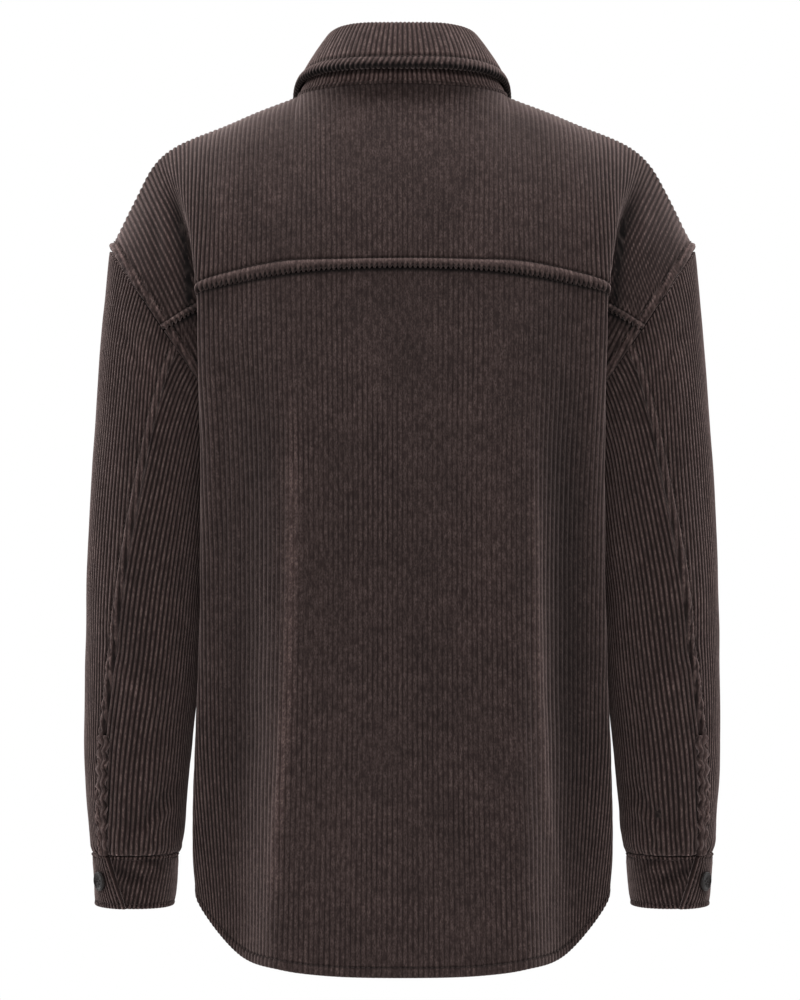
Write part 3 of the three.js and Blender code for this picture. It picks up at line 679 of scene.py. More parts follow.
def shader(name):
    """A new material, its nodes, its links and its main shader."""
    material = bpy.data.materials.new(name)
    material.use_nodes = True
    nodes = material.node_tree.nodes
    return material, nodes, material.node_tree.links, nodes["Principled BSDF"]


def node(nodes, kind, **values):
    """A new node, with values for its sockets or its settings."""
    made = nodes.new(kind)
    for key, value in values.items():
        if key in made.inputs:
            made.inputs[key].default_value = value
        else:
            setattr(made, key, value)
    return made


def span(nodes, low, high, to_low=0.0, to_high=1.0):
    """A node that spreads the values between low and high."""
    made = node(nodes, "ShaderNodeMapRange")
    for socket, value in (("From Min", low), ("From Max", high), ("To Min", to_low), ("To Max", to_high)):
        made.inputs[socket].default_value = value
    return made


def mixed(nodes, **colours):
    """A node that mixes two colours, A and B, by its factor."""
    made = node(nodes, "ShaderNodeMix", data_type="RGBA")
    for socket, colour in colours.items():
        made.inputs[socket].default_value = (*colour, 1)
    return made


def pile_group():
    """Short fibres in cloth coordinates: flecks drawn out along the wale, worn spots and wide patches."""
    group = bpy.data.node_groups.new("pile", "ShaderNodeTree")
    for name in ("Flecks", "Draw", "Patches"):
        group.interface.new_socket(name, in_out="INPUT", socket_type="NodeSocketFloat")
    for name in ("Fleck", "Worn", "Patch"):
        group.interface.new_socket(name, in_out="OUTPUT", socket_type="NodeSocketFloat")
    nodes, links = group.nodes, group.links
    inputs = nodes.new("NodeGroupInput")
    outputs = nodes.new("NodeGroupOutput")
    cloth = node(nodes, "ShaderNodeUVMap", uv_map="cloth")
    stretch = node(nodes, "ShaderNodeCombineXYZ", X=1.0, Z=1.0)
    scaled = node(nodes, "ShaderNodeVectorMath", operation="MULTIPLY")
    fleck = node(nodes, "ShaderNodeTexNoise", Detail=3.0, Roughness=0.65)
    patch = node(nodes, "ShaderNodeTexNoise", Detail=4.0, Roughness=0.6)
    coords = node(nodes, "ShaderNodeTexCoord")
    links.new(inputs.outputs["Draw"], stretch.inputs["Y"])
    links.new(cloth.outputs["UV"], scaled.inputs[0])
    links.new(stretch.outputs[0], scaled.inputs[1])
    links.new(scaled.outputs[0], fleck.inputs["Vector"])
    links.new(inputs.outputs["Flecks"], fleck.inputs["Scale"])
    links.new(coords.outputs["Object"], patch.inputs["Vector"])
    links.new(inputs.outputs["Patches"], patch.inputs["Scale"])
    worn = node(nodes, "ShaderNodeTexNoise", Scale=330.0, Detail=2.0, Roughness=0.6)
    links.new(scaled.outputs[0], worn.inputs["Vector"])
    links.new(worn.outputs["Fac"], outputs.inputs["Worn"])
    links.new(fleck.outputs["Fac"], outputs.inputs["Fleck"])
    links.new(patch.outputs["Fac"], outputs.inputs["Patch"])
    return group


def corduroy(name, pile, groove, crest, light, sheen):
    """Corduroy: darker in the grooves, partly its own tone and partly painted shade, paler on the crests,
    flecked with pale fibre and painted highlight, and a little patchy.
    """
    material, nodes, links, surface = shader(name)
    fibres = node(nodes, "ShaderNodeGroup", node_tree=pile, Flecks=1100.0, Draw=0.4, Patches=34.0)
    nap = node(nodes, "ShaderNodeAttribute", attribute_name="nap")
    bloom = node(nodes, "ShaderNodeAttribute", attribute_name="bloom")
    shade = span(nodes, 0.15, 0.95)
    wale = mixed(nodes, A=groove, B=crest)
    fleck = span(nodes, 0.36, 0.68)
    lit = mixed(nodes, B=light)
    amount = node(nodes, "ShaderNodeMath", operation="MULTIPLY")
    worn = span(nodes, 0.35, 0.68, 0.1, 1.7)
    rubbed = node(nodes, "ShaderNodeMath", operation="MULTIPLY")
    patchy = span(nodes, 0.3, 0.7, 0.82, 1.18)
    # The painted light attribute scales the colour: paler above 0, painted shade below it
    painted_scale = node(nodes, "ShaderNodeMath", operation="MULTIPLY_ADD")
    final = node(nodes, "ShaderNodeVectorMath", operation="SCALE")
    bump = node(nodes, "ShaderNodeBump", Strength=0.55, Distance=0.0006)
    links.new(nap.outputs["Fac"], shade.inputs["Value"])
    links.new(shade.outputs[0], wale.inputs["Factor"])
    links.new(fibres.outputs["Fleck"], fleck.inputs["Value"])
    links.new(fleck.outputs[0], amount.inputs[0])
    links.new(shade.outputs[0], amount.inputs[1])
    links.new(fibres.outputs["Worn"], worn.inputs["Value"])
    links.new(amount.outputs[0], rubbed.inputs[0])
    links.new(worn.outputs[0], rubbed.inputs[1])
    links.new(rubbed.outputs[0], lit.inputs["Factor"])
    links.new(wale.outputs["Result"], lit.inputs["A"])
    links.new(fibres.outputs["Patch"], patchy.inputs["Value"])
    links.new(lit.outputs["Result"], final.inputs[0])
    links.new(bloom.outputs["Fac"], painted_scale.inputs[0])
    links.new(patchy.outputs[0], painted_scale.inputs[1])
    links.new(patchy.outputs[0], painted_scale.inputs[2])
    links.new(painted_scale.outputs[0], final.inputs["Scale"])
    links.new(final.outputs[0], surface.inputs["Base Color"])
    links.new(fibres.outputs["Fleck"], bump.inputs["Height"])
    links.new(bump.outputs["Normal"], surface.inputs["Normal"])
    surface.inputs["Roughness"].default_value = 0.92
    surface.inputs["Specular IOR Level"].default_value = 0.15
    surface.inputs["Sheen Weight"].default_value = sheen
    surface.inputs["Sheen Roughness"].default_value = 0.45
    surface.inputs["Sheen Tint"].default_value = (*SHEEN_TINT, 1)
    return material


def plain_finish(name, colour, roughness, specular):
    """A smooth finish with a slight unevenness of colour."""
    material, nodes, links, surface = shader(name)
    coords = node(nodes, "ShaderNodeTexCoord")
    cloud = node(nodes, "ShaderNodeTexNoise", Scale=260.0, Detail=4.0)
    tint = mixed(nodes, A=colour, B=[channel * PALER for channel in colour])
    links.new(coords.outputs["Object"], cloud.inputs["Vector"])
    links.new(cloud.outputs["Fac"], tint.inputs["Factor"])
    links.new(tint.outputs["Result"], surface.inputs["Base Color"])
    surface.inputs["Roughness"].default_value = roughness
    surface.inputs["Specular IOR Level"].default_value = specular
    return material


for leftover in list(bpy.data.objects):
    bpy.data.objects.remove(leftover)
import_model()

SHEEN_TINT = (0.58, 0.44, 0.42)
PALER = 1.7
PILE = pile_group()
# The groove colour is partly painted shade; the light colour is painted highlight, flecked on the crests
CORDUROY = corduroy(
    "corduroy", PILE, groove=(0.0105, 0.006, 0.0054), crest=(0.0265, 0.0163, 0.0152),
    light=(0.09, 0.062, 0.057), sheen=0.55)
# The plain side, with weaker painted groove shade and crest highlight
CORDUROY_INSIDE = corduroy(
    "corduroy inside", PILE, groove=(0.02, 0.014, 0.013), crest=(0.03, 0.022, 0.02),
    light=(0.05, 0.038, 0.036), sheen=0.1)
THREAD_MATERIAL = plain_finish("thread", (0.034, 0.024, 0.022), roughness=0.8, specular=0.2)
BUTTON_MATERIAL = plain_finish("button", (0.007, 0.0045, 0.004), roughness=0.48, specular=0.3)


# The camera

CAMERA_PLACE = (0.002, 3.4, -0.324)
SEEN_HEIGHT = 0.81
SENSOR = 36


def set_camera():
    """Behind the garment, level with its middle and square to it."""
    camera = bpy.data.objects.new("camera", bpy.data.cameras.new("camera"))
    bpy.context.collection.objects.link(camera)
    camera.location = CAMERA_PLACE
    camera.rotation_euler = (math.pi / 2, 0, math.pi)
    camera.data.sensor_width = SENSOR
    camera.data.lens = SENSOR * CAMERA_PLACE[1] / SEEN_HEIGHT
    camera.data.clip_end = 50
    bpy.context.scene.camera = camera


set_camera()


# The body

def wales_across(lengths, us):
    """Wale counts across laid rows: even up to the slope line, then by true length."""
    k = int(np.argmin(np.abs(us - SLOPE_LINE)))
    zero = int(np.argmin(np.abs(us)))
    lengths = lengths - lengths[:, zero:zero + 1]
    inner = SLOPE_WALES * lengths / lengths[:, k:k + 1]
    return np.where(us[None, :] <= us[k], inner, SLOPE_WALES + (lengths - lengths[:, k:k + 1]) / WALE)


def whole_phases(low, high):
    """Places of the columns, in wales, from below low to above high."""
    first = math.floor(low * STEPS_PER_WALE)
    last = math.ceil(high * STEPS_PER_WALE)
    return np.arange(first, last + 1) / STEPS_PER_WALE


def slope_wales():
    """Whole wales from the middle of the back to the slope line, at the yoke's seam."""
    lengths = lay(back_surface, US, np.array([0, 0.01]), depth=DEPTH_SHARE)[2]
    return round(lengths[0][int(np.argmin(np.abs(US - SLOPE_LINE)))] / WALE)


# Places across half the body, by the number of the line, up to just short of the armhole and side seam
SLOPE_LINE = 3
ARMHOLE_LINE = 7
LAST_U = ARMHOLE_LINE - 0.006
US = np.linspace(0, LAST_U, 561)
SLOPE_WALES = slope_wales()


def across_drop(points):
    """Wale counts over the drop of the shoulder, where the wales run down and inwards."""
    return (points[..., 0] * math.cos(DROP_TILT) - points[..., 2] * math.sin(DROP_TILT)) / WALE


def drop_start():
    """What joins the two wale counts on top of the shoulder."""
    points, _, lengths = lay(yoke_surface, US, np.array([0.98, 1]), -1, DEPTH_SHARE)
    near = int(np.argmin(np.abs(US - DROP_LINE)))
    return wales_across(lengths, US)[1][near] - across_drop(points[1][near])


DROP_LINE = 4.8
DROP_TILT = math.radians(26)
DROP_WALES = drop_start()


def leaning(half, wales):
    """How far the wales on the drop lean from the straight grain, the turn hidden in the fold beside it."""
    turning = (DROP_LINE - 0.5, DROP_LINE + 0.5)
    low, high = (np.array([np.interp(line, US, row) for row in wales])[:, None] for line in turning)
    drop = ease(0, 1, (half["wale"] - low) / (high - low)) * ease(-330, -262, half["base"][..., 2])
    return drop * (across_drop(half["base"]) + DROP_WALES - half["wale"])


def both_sides(half):
    """A sheet and the same one on the wearer's other side, its wales counted the other way."""
    other = mirrored(half)
    for name in {"wale", "lean"} & set(other):
        other[name] = -other[name]
    return half, other


def both_halves(half):
    """One sheet from side to side, from a half whose first column is on the middle."""
    half, other = both_sides(half)
    return {name: np.concatenate([other[name][:, :0:-1], half[name]], axis=1) for name in half}


def hem_finish(sheet, ts, length):
    """A turned hem with its row of stitches."""
    away = ((1 - ts) * length)[:, None]
    raise_pile(sheet, 0.8 * (1 - ease(HEM_STITCH - 0.6, HEM_STITCH + 0.6, away)) + rounded(away, 1.4))
    return sewn(sheet, away, HEM_STITCH)


def lap_finish(sheet, away, shown=1.0, pucker=0.0, lift=LAP_LIFT):
    """A lapped and topstitched edge: a full band, proud of what it covers, with a furrow beside it, painted
    light on the band and its puckers, a painted highlight line inside the stitches and painted shade at the
    very edge.
    """
    band = np.sin(math.pi * np.clip(away / LAP_WIDTH, 0, 1)) ** 0.8
    rise = lift * (1 - ease(LAP_WIDTH - 0.3, LAP_WIDTH + 0.8, away)) + LAP_PUFF * band
    beyond = 0.5 * hump(away, LAP_WIDTH + 2.8, 1.4)
    slant = math.tau * (sheet["along"] / PUCKER_LENGTH + away / 11)
    ripple = pucker * np.sin(slant) * hump(away, 3.2, 4)
    raise_pile(sheet, shown * (rise + beyond + ripple + rounded(away, 1.5)))
    # Painted highlight just inside the stitches, painted shade at the cut edge
    caught = 0.8 * hump(away, LAP_WIDTH - 0.9, 0.8) - 0.35 * hump(away, 0, 0.8)
    paint_light_and_shade(sheet, shown * (0.15 * band + 0.7 * ripple + caught))
    sheet["pressed"] = np.maximum(sheet.get("pressed", 0), shown * band * ease(1.5, 3.5, away))
    return sewn(sheet, away, LAP_STITCH, 0.8, 1.1, shown)


def toothed(sheet, away, depth=3.0, reach=4.5, end=0):
    """Wale ends along a seam: the grooves between them draw back from the edge, with painted shadow in them.
    """
    towards = unit(sheet["base"][end] - sheet["base"][3 if end == 0 else -4])
    lean = sheet["lean"][end] if "lean" in sheet else 0
    groove = np.cos(math.pi * (sheet["wale"][end] + lean)) ** 2
    near = 1 - ease(0, reach, away)
    shift = depth * (0.15 - groove[None, :]) * near
    sheet["base"] = sheet["base"] + towards[None, :, :] * shift[..., None]
    paint_light_and_shade(sheet, -1.1 * groove[None, :] * (1 - ease(reach * 0.25, reach * 0.6, away)))
    return sheet


BACK_LENGTH = HEM_BACK["centre"] - YOKE_SEAM_Z["centre"]
BACK_TS = rows_at(-BACK_LENGTH, 4.8, (0.4, 1.5, 3.5), (0.4, 1.0, 2.2, 4.2, 6.0, 7.0, 7.6, 8.2, 8.9, 10))
FLARE_WALES = 5.2
# Each fold: side, width, height, painted light (painted shade below 0), then points (x, z) along it
BODY_FOLDS = [
    *((1, 5, -2.6, -0.85, *((side * x, z) for x, z in (
        (190, -70), (181, -92), (175, -115), (171, -139), (169, -164), (168, -200)))) for side in (1, -1)),
    (1, 4, 1.2, 0.25, (196, -84), (190, -104), (186, -130), (182, -160)),
    (1, 4, 1.2, 0.25, (-197, -88), (-192, -110), (-187, -140)),
    (1, 4, -1.0, -0.3, (203, -92), (197, -116), (194, -146)),
    (1, 5.5, 2.1, 0.8,
     (86, -205), (86, -330), (87.5, -402), (90.5, -481), (95, -543), (101, -606), (107, -690)),
    (1, 5, 1.7, 0.6,
     (-102, -262), (-103, -340), (-105, -402), (-108, -481), (-112, -559), (-119, -606), (-131, -655)),
    (1, 20, -1.3, -0.35, (112, -175), (113, -330), (117, -450), (128, -640)),
    (1, 19, -1.3, -0.35, (-126, -200), (-128, -400), (-140, -630)),
    (1, 24, 0.8, 0.1, (40, -170), (20, -260), (-20, -330)),
    (1, 20, -0.7, -0.1, (0, -150), (6, -240), (12, -420)),
    (1, 22, 0.7, 0.08, (-62, -210), (-66, -330), (-58, -470)),
    (1, 26, -0.7, -0.06, (-30, -380), (-20, -520), (-34, -650)),
    (1, 20, 0.6, 0.06, (40, -430), (52, -560), (48, -660)),
    (1, 9, 1.2, 0.25, (146, -62), (139, -96), (136, -128)),
    (1, 8, -0.9, -0.15, (124, -40), (121, -92), (118, -128)),
    (1, 10, 1.0, 0.2, (-144, -60), (-140, -96), (-138, -126)),
    (1, 7, 0.9, 0.12, (150, -182), (150, -260), (151, -380)),
    (1, 5, -0.8, -0.1, (143, -190), (142, -300), (143, -420)),
    (1, 7, 0.9, 0.1, (-151, -180), (-150, -300), (-152, -420)),
    # Wide bands of painted shade alone, with the cloth left flat
    (1, 34, 0, -0.24, (40, -2), (120, -30), (178, -60), (215, -110)),
    (1, 34, 0, -0.24, (-40, -2), (-120, -30), (-178, -60), (-215, -110)),
    (1, 22, 0, -0.22, (-120, -60), (-121, -330), (-122, -800)),
    (1, 26, 0, -0.16, (-150, -60), (-152, -330), (-154, -800)),
    (1, 26, 0, -0.14, (150, -60), (152, -330), (154, -800)),
    (-1, 16, -1.0, -0.1, (-60, -180), (-50, -330)),
    (-1, 18, 1.0, 0.1, (70, -200), (62, -380)),
    (-1, 14, 1.2, 0.25, (-92, -300), (-88, -430), (-96, -610)),
    (-1, 14, 1.2, 0.25, (96, -260), (92, -420), (98, -600)),
    (-1, 16, -1.0, -0.15, (112, -320), (116, -560)),
    (-1, 16, -1.0, -0.15, (-114, -280), (-116, -540)),
    (-1, 12, 0.9, 0.1, (-112, -160), (-98, -240))]


def drop_depth_and_shade(sheet):
    """How tall the wales stand and how much shade is painted in their grooves: less, in uneven patches, down
    the middle, and more out on the drop of the shoulder.
    """
    out = np.abs(sheet["base"][..., 0])
    rows, columns = out.shape
    patches = 0.35 * wavering(7, rows, columns, 14, STEPS_PER_WALE * 9)
    high = ease(-190, -120, sheet["base"][..., 2])
    low = ease(-430, -560, sheet["base"][..., 2])
    middle = (patches - 0.4) * (1 - ease(60, 150, out))
    drop = (0.6 + 0.9 * high + 0.5 * low) * ease(138 - 20 * low, 178 - 20 * low, out)
    return middle + drop


def armhole_band(sheet, shown):
    """The lapped edge along the armhole, its stitched side drawn into waves, with painted highlight near the
    edge and inside the stitches, and painted shade beyond them.
    """
    away = sheet["edge_high"]
    sheet = lap_finish(sheet, away, shown, 0.9, 0.6)
    wave = 0.7 * np.sin(math.tau * sheet["along"] / WAVE_LENGTH)
    line = hump(away, LAP_WIDTH + 1.0 + wave, 0.9)
    caught = hump(away, LAP_WIDTH - 0.9 + wave, 0.9)
    paint_light_and_shade(sheet, shown * (0.45 * caught - 0.5 * line + 0.25 * hump(away, 1.8, 1.0)))
    raise_pile(sheet, -0.7 * shown * line)
    return sheet


def make_back():
    """The back below the yoke, from one side seam to the other."""
    points, normals, lengths = lay(back_surface, US, BACK_TS, depth=DEPTH_SHARE)
    low = ease(-470, -690, points[..., 2])
    wales = wales_across(lengths, US) + FLARE_WALES * low**1.5 * ease(2, 4.2, US)[None, :]
    half = follow_wales(points, normals, wales, US, whole_phases(0, wales.max()))
    half["lean"] = leaning(half, wales)
    above = (BACK_TS < BACK_UNDERARM * 0.99)[:, None]
    half = armhole_band(half, above)
    raise_pile(half, (~above) * rounded(half["edge_high"], CUT_EDGE))
    sheet = hem_finish(both_halves(half), BACK_TS, -BACK_LENGTH)
    # Painted shadow along the top, under the yoke's edge
    paint_light_and_shade(sheet, -0.85 * (1 - ease(0.6, 3.6, (BACK_TS * -BACK_LENGTH)[:, None])))
    sheet = give_wales(creased(sheet, BODY_FOLDS), seed=11, depth_and_shade=drop_depth_and_shade(sheet))
    return cloth_piece("back_cloth", [sheet]), sheet


YOKE_LENGTH = 165.0
YOKE_TS = rows_at(YOKE_LENGTH, 4.6, (0.4, 1.1, 2.4, 4.4, 6.2, 7.0, 7.6, 8.4, 9.6), (0.5, 1.2, 2.2, 3.4))
STRIP_LENGTH = 34
STRIP_TS = np.linspace(0, 0.99, 9)
TUCK_X = 158
SIDE_OF_NECK = (76, 86)


def half_yoke():
    """Half the yoke, from its seam on the back up to the neck and the shoulder line, and its places."""
    points, normals, lengths = lay(yoke_surface, US, YOKE_TS, -1, DEPTH_SHARE)
    wales = wales_across(lengths, US)
    phases = whole_phases(0, wales.max())
    half = follow_wales(points, normals, wales, US, phases)
    half["lean"] = leaning(half, wales)
    above_seam = (YOKE_TS * YOKE_LENGTH)[:, None]
    below_neck = ((1 - YOKE_TS) * YOKE_LENGTH)[:, None]
    tucked = hump(half["base"][..., 0], TUCK_X, 9) * (half["out"][..., 1] < 0.4)
    half = lap_finish(toothed(half, above_seam), above_seam, 1 - 0.8 * tucked)
    half = armhole_band(half, 1)
    at_neck = 1 - ease(*SIDE_OF_NECK, np.abs(half["base"][..., 0]))
    half = sewn(half, below_neck, 2.6, 0.7, 0.8, at_neck)
    # Painted shade along the neck seam
    paint_light_and_shade(half, -0.9 * at_neck * hump(below_neck, 0, 1.1))
    return half, np.interp(phases, wales[-1], US)


def yoke_strip(half, us):
    """The yoke in front of the shoulder line, going on from the last row of its half behind."""
    last = {name: value[-1][us >= 2] for name, value in half.items()}
    us = us[us >= 2]
    points = np.array([yoke_front_surface(us, t) for t in STRIP_TS])
    points[0] = last["base"]
    normals = -np.cross(np.gradient(points, axis=1), np.gradient(points, STRIP_TS, axis=0))
    level_from = int(np.argmax(us >= ARMHOLE_LINE - 0.01)) or len(us)
    normals[:, level_from - 1:] = normals[:, level_from - 2:level_from - 1]
    normals = unit(normals)
    normals[0] = last["out"]
    run = np.linalg.norm(np.diff(points, axis=0), axis=2)
    along = last["along"][None, :] + np.concatenate([0 * run[:1], np.cumsum(run, axis=0)])
    same = {name: np.tile(last[name], (len(STRIP_TS), 1)) for name in (
        "wale", "lean", "raised", "edge_low", "edge_high")}
    strip = dict(same, base=points, out=normals, along=along, bloom=np.zeros(along.shape))
    return lap_finish(strip, ((STRIP_TS[-1] - STRIP_TS) * STRIP_LENGTH)[:, None])


def make_yoke():
    """The yoke over both shoulders, in one piece."""
    half, us = half_yoke()
    behind = both_halves(half)
    strips = both_sides(yoke_strip(half, us))
    middle = len(us) - 1
    for part, seed in ((behind, 21), (strips[0], 31), (strips[1], 41)):
        give_wales(creased(part, BODY_FOLDS), seed, depth_and_shade=drop_depth_and_shade(part))
    last = behind["raised"][-1]
    for strip, row in zip(strips, (last[middle:], last[middle::-1])):
        blend = ease(0, 0.4, STRIP_TS)[:, None]
        strip["raised"] = mix(row[us >= 2][None, :], strip["raised"], blend)
    return cloth_piece("yoke_cloth", [behind, *strips]), behind


FRONT_LENGTH = 640.0
FRONT_TS = rows_at(FRONT_LENGTH, 6.0, (1.9, 3.0, 4.5), (0.4, 1.2, 2.6, 4.6, 6.4, 7.2, 7.8, 8.6, 10))[1:]


def front_middle_out():
    """The outward directions and the points down the middle of the front, by row."""
    middle = np.array([front_surface(np.array([0.0]), t)[0] for t in FRONT_TS])
    along = np.gradient(middle, FRONT_TS, axis=0)
    return unit(np.stack([0 * along[:, 0], along[:, 2], -along[:, 1]], -1)), middle


def from_line(lengths, column):
    """Wale counts by true length to either side of a column."""
    return (lengths - lengths[:, column:column + 1]) / WALE


def laid_front(low_u, high_u):
    """A sheet of the front from one place across it to another, past the middle of the front."""
    past_middle = np.linspace(low_u, 0, 41)[:-1]
    us = np.concatenate([past_middle, np.linspace(0, high_u, 521)])
    points, normals, lengths = lay(front_surface, us, FRONT_TS, -1, DEPTH_SHARE)
    wide = high_u > SLOPE_LINE
    wales = wales_across(lengths, us) if wide else from_line(lengths, len(past_middle))
    return follow_wales(points, normals, wales, us, whole_phases(wales.min(), wales.max()))


def make_front(name, side):
    """A front on the wearer's left, side 1, or right, side -1: the left one lies under the other's edge."""
    sheet = laid_front(-PLACKET_U * OVERLAP_SHARE, LAST_U)
    if side > 0:
        tucked = 1 - ease(18, 46, sheet["base"][..., 0])
        under = ((LAYER + SEAM_GAP) * tucked)[..., None]
        sheet["base"] = sheet["base"] - front_middle_out()[0][:, None, :] * under
    above = (FRONT_TS < FRONT_UNDERARM * 0.99)[:, None]
    sheet = lap_finish(sheet, sheet["edge_high"], above, 0.5, 0.5)
    raise_pile(sheet, (~above) * rounded(sheet["edge_high"], CUT_EDGE))
    sheet = hem_finish(sheet, FRONT_TS, FRONT_LENGTH)
    if side < 0:
        sheet = mirrored(sheet)
    sheet = give_wales(creased(sheet, BODY_FOLDS), seed=51 + side)
    return cloth_piece(name, [sheet]), sheet


def make_placket():
    """The button band on the front that laps over."""
    sheet = laid_front(-PLACKET_U, PLACKET_U)
    sheet["base"] = sheet["base"] + sheet["out"] * LAYER
    for key in ("edge_low", "edge_high"):
        sheet = sewn(sheet, sheet[key], PLACKET_STITCH)
        raise_pile(sheet, rounded(sheet[key], 1.3))
    sheet = give_wales(hem_finish(sheet, FRONT_TS, FRONT_LENGTH), seed=61)
    return cloth_piece("placket_right_cloth", [sheet]), sheet


# The collar

STAND_WIDTH = 42
STAND_REACH = 191
STAND_STITCH = 3.8
STAND_TS = rows_at(STAND_WIDTH, 3.5, (0.4, 1.1, 1.7, 2.3, 3.0, 4.0), ())


def make_stand():
    """The stand of the collar, whose lower edge lies under the yoke's and whose ends lap in front."""
    angles = np.linspace(-STAND_REACH, STAND_REACH, 1201)

    def surface(at, share):
        points = stand_surface(at, mix(-0.04, 1, share))
        tucked = ease(150, COLLAR_END, at)[:, None]
        return points - unit(points * (1, 1, 0)) * (DOUBLED + 0.5) * tucked

    points, normals, lengths = lay(surface, angles, STAND_TS, outward=-1)
    wales = from_line(np.tile(lengths[0:1], (len(STAND_TS), 1)), len(angles) // 2)
    sheet = follow_wales(points, normals, wales, angles, whole_phases(wales.min(), wales.max()))
    away = (STAND_TS * STAND_WIDTH)[:, None]
    sheet["raised"] = rounded(away, 1.1) + 0.5
    sheet = sewn(sheet, away, STAND_STITCH, 0.6, 0.8)
    # Painted light on the part of the stand that shows, painted shade under the fall and along the neck seam
    paint_light_and_shade(sheet, 1.2 * (1 - ease(6.5, 9.5, away)) - 0.7 * ease(9.5, 12.5, away))
    paint_light_and_shade(sheet, -1.3 * (1 - ease(1.6, 2.8, away)))
    sheet = give_wales(sheet, seed=71, height=0.8, slack=0.2, depth_and_shade=0.5)
    return cloth_piece("collar_stand_cloth", [sheet], wall=DOUBLED), sheet


FALL_WIDTH = 50.0
FALL_TS = rows_at(FALL_WIDTH, 2.6, (), (0.5, 1.2, 2.2, 3.6, 5.0, 6.0, 6.7, 7.4, 8.2, 9.4))


def make_fall():
    """The fall of the collar, rolled over the stand, with its points in front."""
    us = np.linspace(-1, 1, 961)
    path = collar_path(us)

    def surface(_, share):
        return np.array([through(points, np.array([share * 4]))[0] for points in path])

    points, normals, lengths = lay(surface, us, FALL_TS)
    wales = from_line(np.tile(lengths[len(FALL_TS) // 2], (len(FALL_TS), 1)), len(us) // 2)
    sheet = follow_wales(points, normals, wales, us, whole_phases(wales.min(), wales.max()))
    away = ((1 - FALL_TS) * FALL_WIDTH)[:, None]
    ends = np.minimum(sheet["edge_low"], sheet["edge_high"]) * 0.9
    near = np.minimum(away, ends)
    puff = 1.3 * np.sin(np.clip(near / COLLAR_STITCH, 0, 1) * math.pi)
    sheet["raised"] = puff + rounded(near, 1.8)
    sheet = sewn(sheet, near, COLLAR_STITCH, 0.9, 0.9)
    sheet["lean"] = -0.7 * (1 - ease(0, COLLAR_STITCH + 1, near))
    # Painted light over the fall and in a row above the stitches, painted shade at the rolled edge
    paint_light_and_shade(sheet, 0.16 + 0.35 * hump(near, 9.3, 1.3) - 1.1 * (1 - ease(0.6, 2.8, near)))
    sheet = toothed(sheet, away, 1.6, 5, end=-1)
    sheet = give_wales(sheet, seed=81, height=0.95, slack=0.4, depth_and_shade=0.6)
    return cloth_piece("collar_fall_cloth", [sheet], wall=DOUBLED), sheet


# The sleeves

LAST_RING = len(SLEEVE["outer_x"]) - 1
SLEEVE_LENGTH = 440.0
SLEEVE_ROWS = rows_at(SLEEVE_LENGTH, 4.0, (0.8, 2.0, 4.0))
SLEEVE_TS = np.concatenate([
    SLEEVE_ROWS[SLEEVE_ROWS < 0.5], 0.5 + 0.5 * rows_at(SLEEVE_LENGTH / 2, 2.5, (), (0.5, 1.4))])
SLEEVE_EDGE = 0.17
# Each fold: side, width, height, painted light (painted shade below 0), then points (x, z) along it
SLEEVE_FOLDS = [
    (1, 8, -1.6, -0.2, (238, -425), (222, -452), (200, -482)),
    (1, 7, 1.4, 0.3, (232, -444), (212, -474), (192, -500)),
    (1, 6, -1.5, -0.25, (178, -548), (196, -566), (220, -592)),
    (1, 4, 1.4, 0.2, (182, -566), (200, -584), (214, -600)),
    (1, 6, 1.1, 0.15, (186, -510), (200, -540), (210, -566)),
    (1, 5, 1.3, 0.25, (252, -545), (243, -572), (232, -600)),
    (1, 3.5, -1.3, -0.1, (200, -604), (201, -584), (206, -566)),
    (1, 3.5, -1.2, -0.1, (217, -604), (219, -580), (216, -562)),
    (1, 3, 1.1, 0.1, (227, -604), (229, -584)),
    (1, 5, 1.2, 0.35, (212, -188), (204, -214), (192, -238)),
    (1, 4, 1.1, 0.3, (222, -196), (212, -226), (198, -250)),
    (1, 5, -1.2, -0.1, (226, -180), (216, -206), (205, -230)),
    (1, 9, 1.0, 0.2, (246, -250), (249, -330), (252, -420)),
    (-1, 8, -1.5, -0.2, (240, -425), (224, -452), (206, -484)),
    (-1, 7, 1.4, 0.3, (234, -446), (214, -478), (194, -502)),
    (-1, 6, 1.3, 0.2, (188, -556), (202, -576), (216, -600)),
    (-1, 5, -1.3, -0.1, (236, -566), (230, -582), (224, -604)),
    (-1, 5, 1.2, 0.2, (214, -190), (200, -216), (186, -240))]


def worn_on(side, folds):
    """The same folds on the wearer's left, side 1, or right, side -1."""
    return [(*fold[:4], *((side * x, z) for x, z in fold[4:])) for fold in folds]


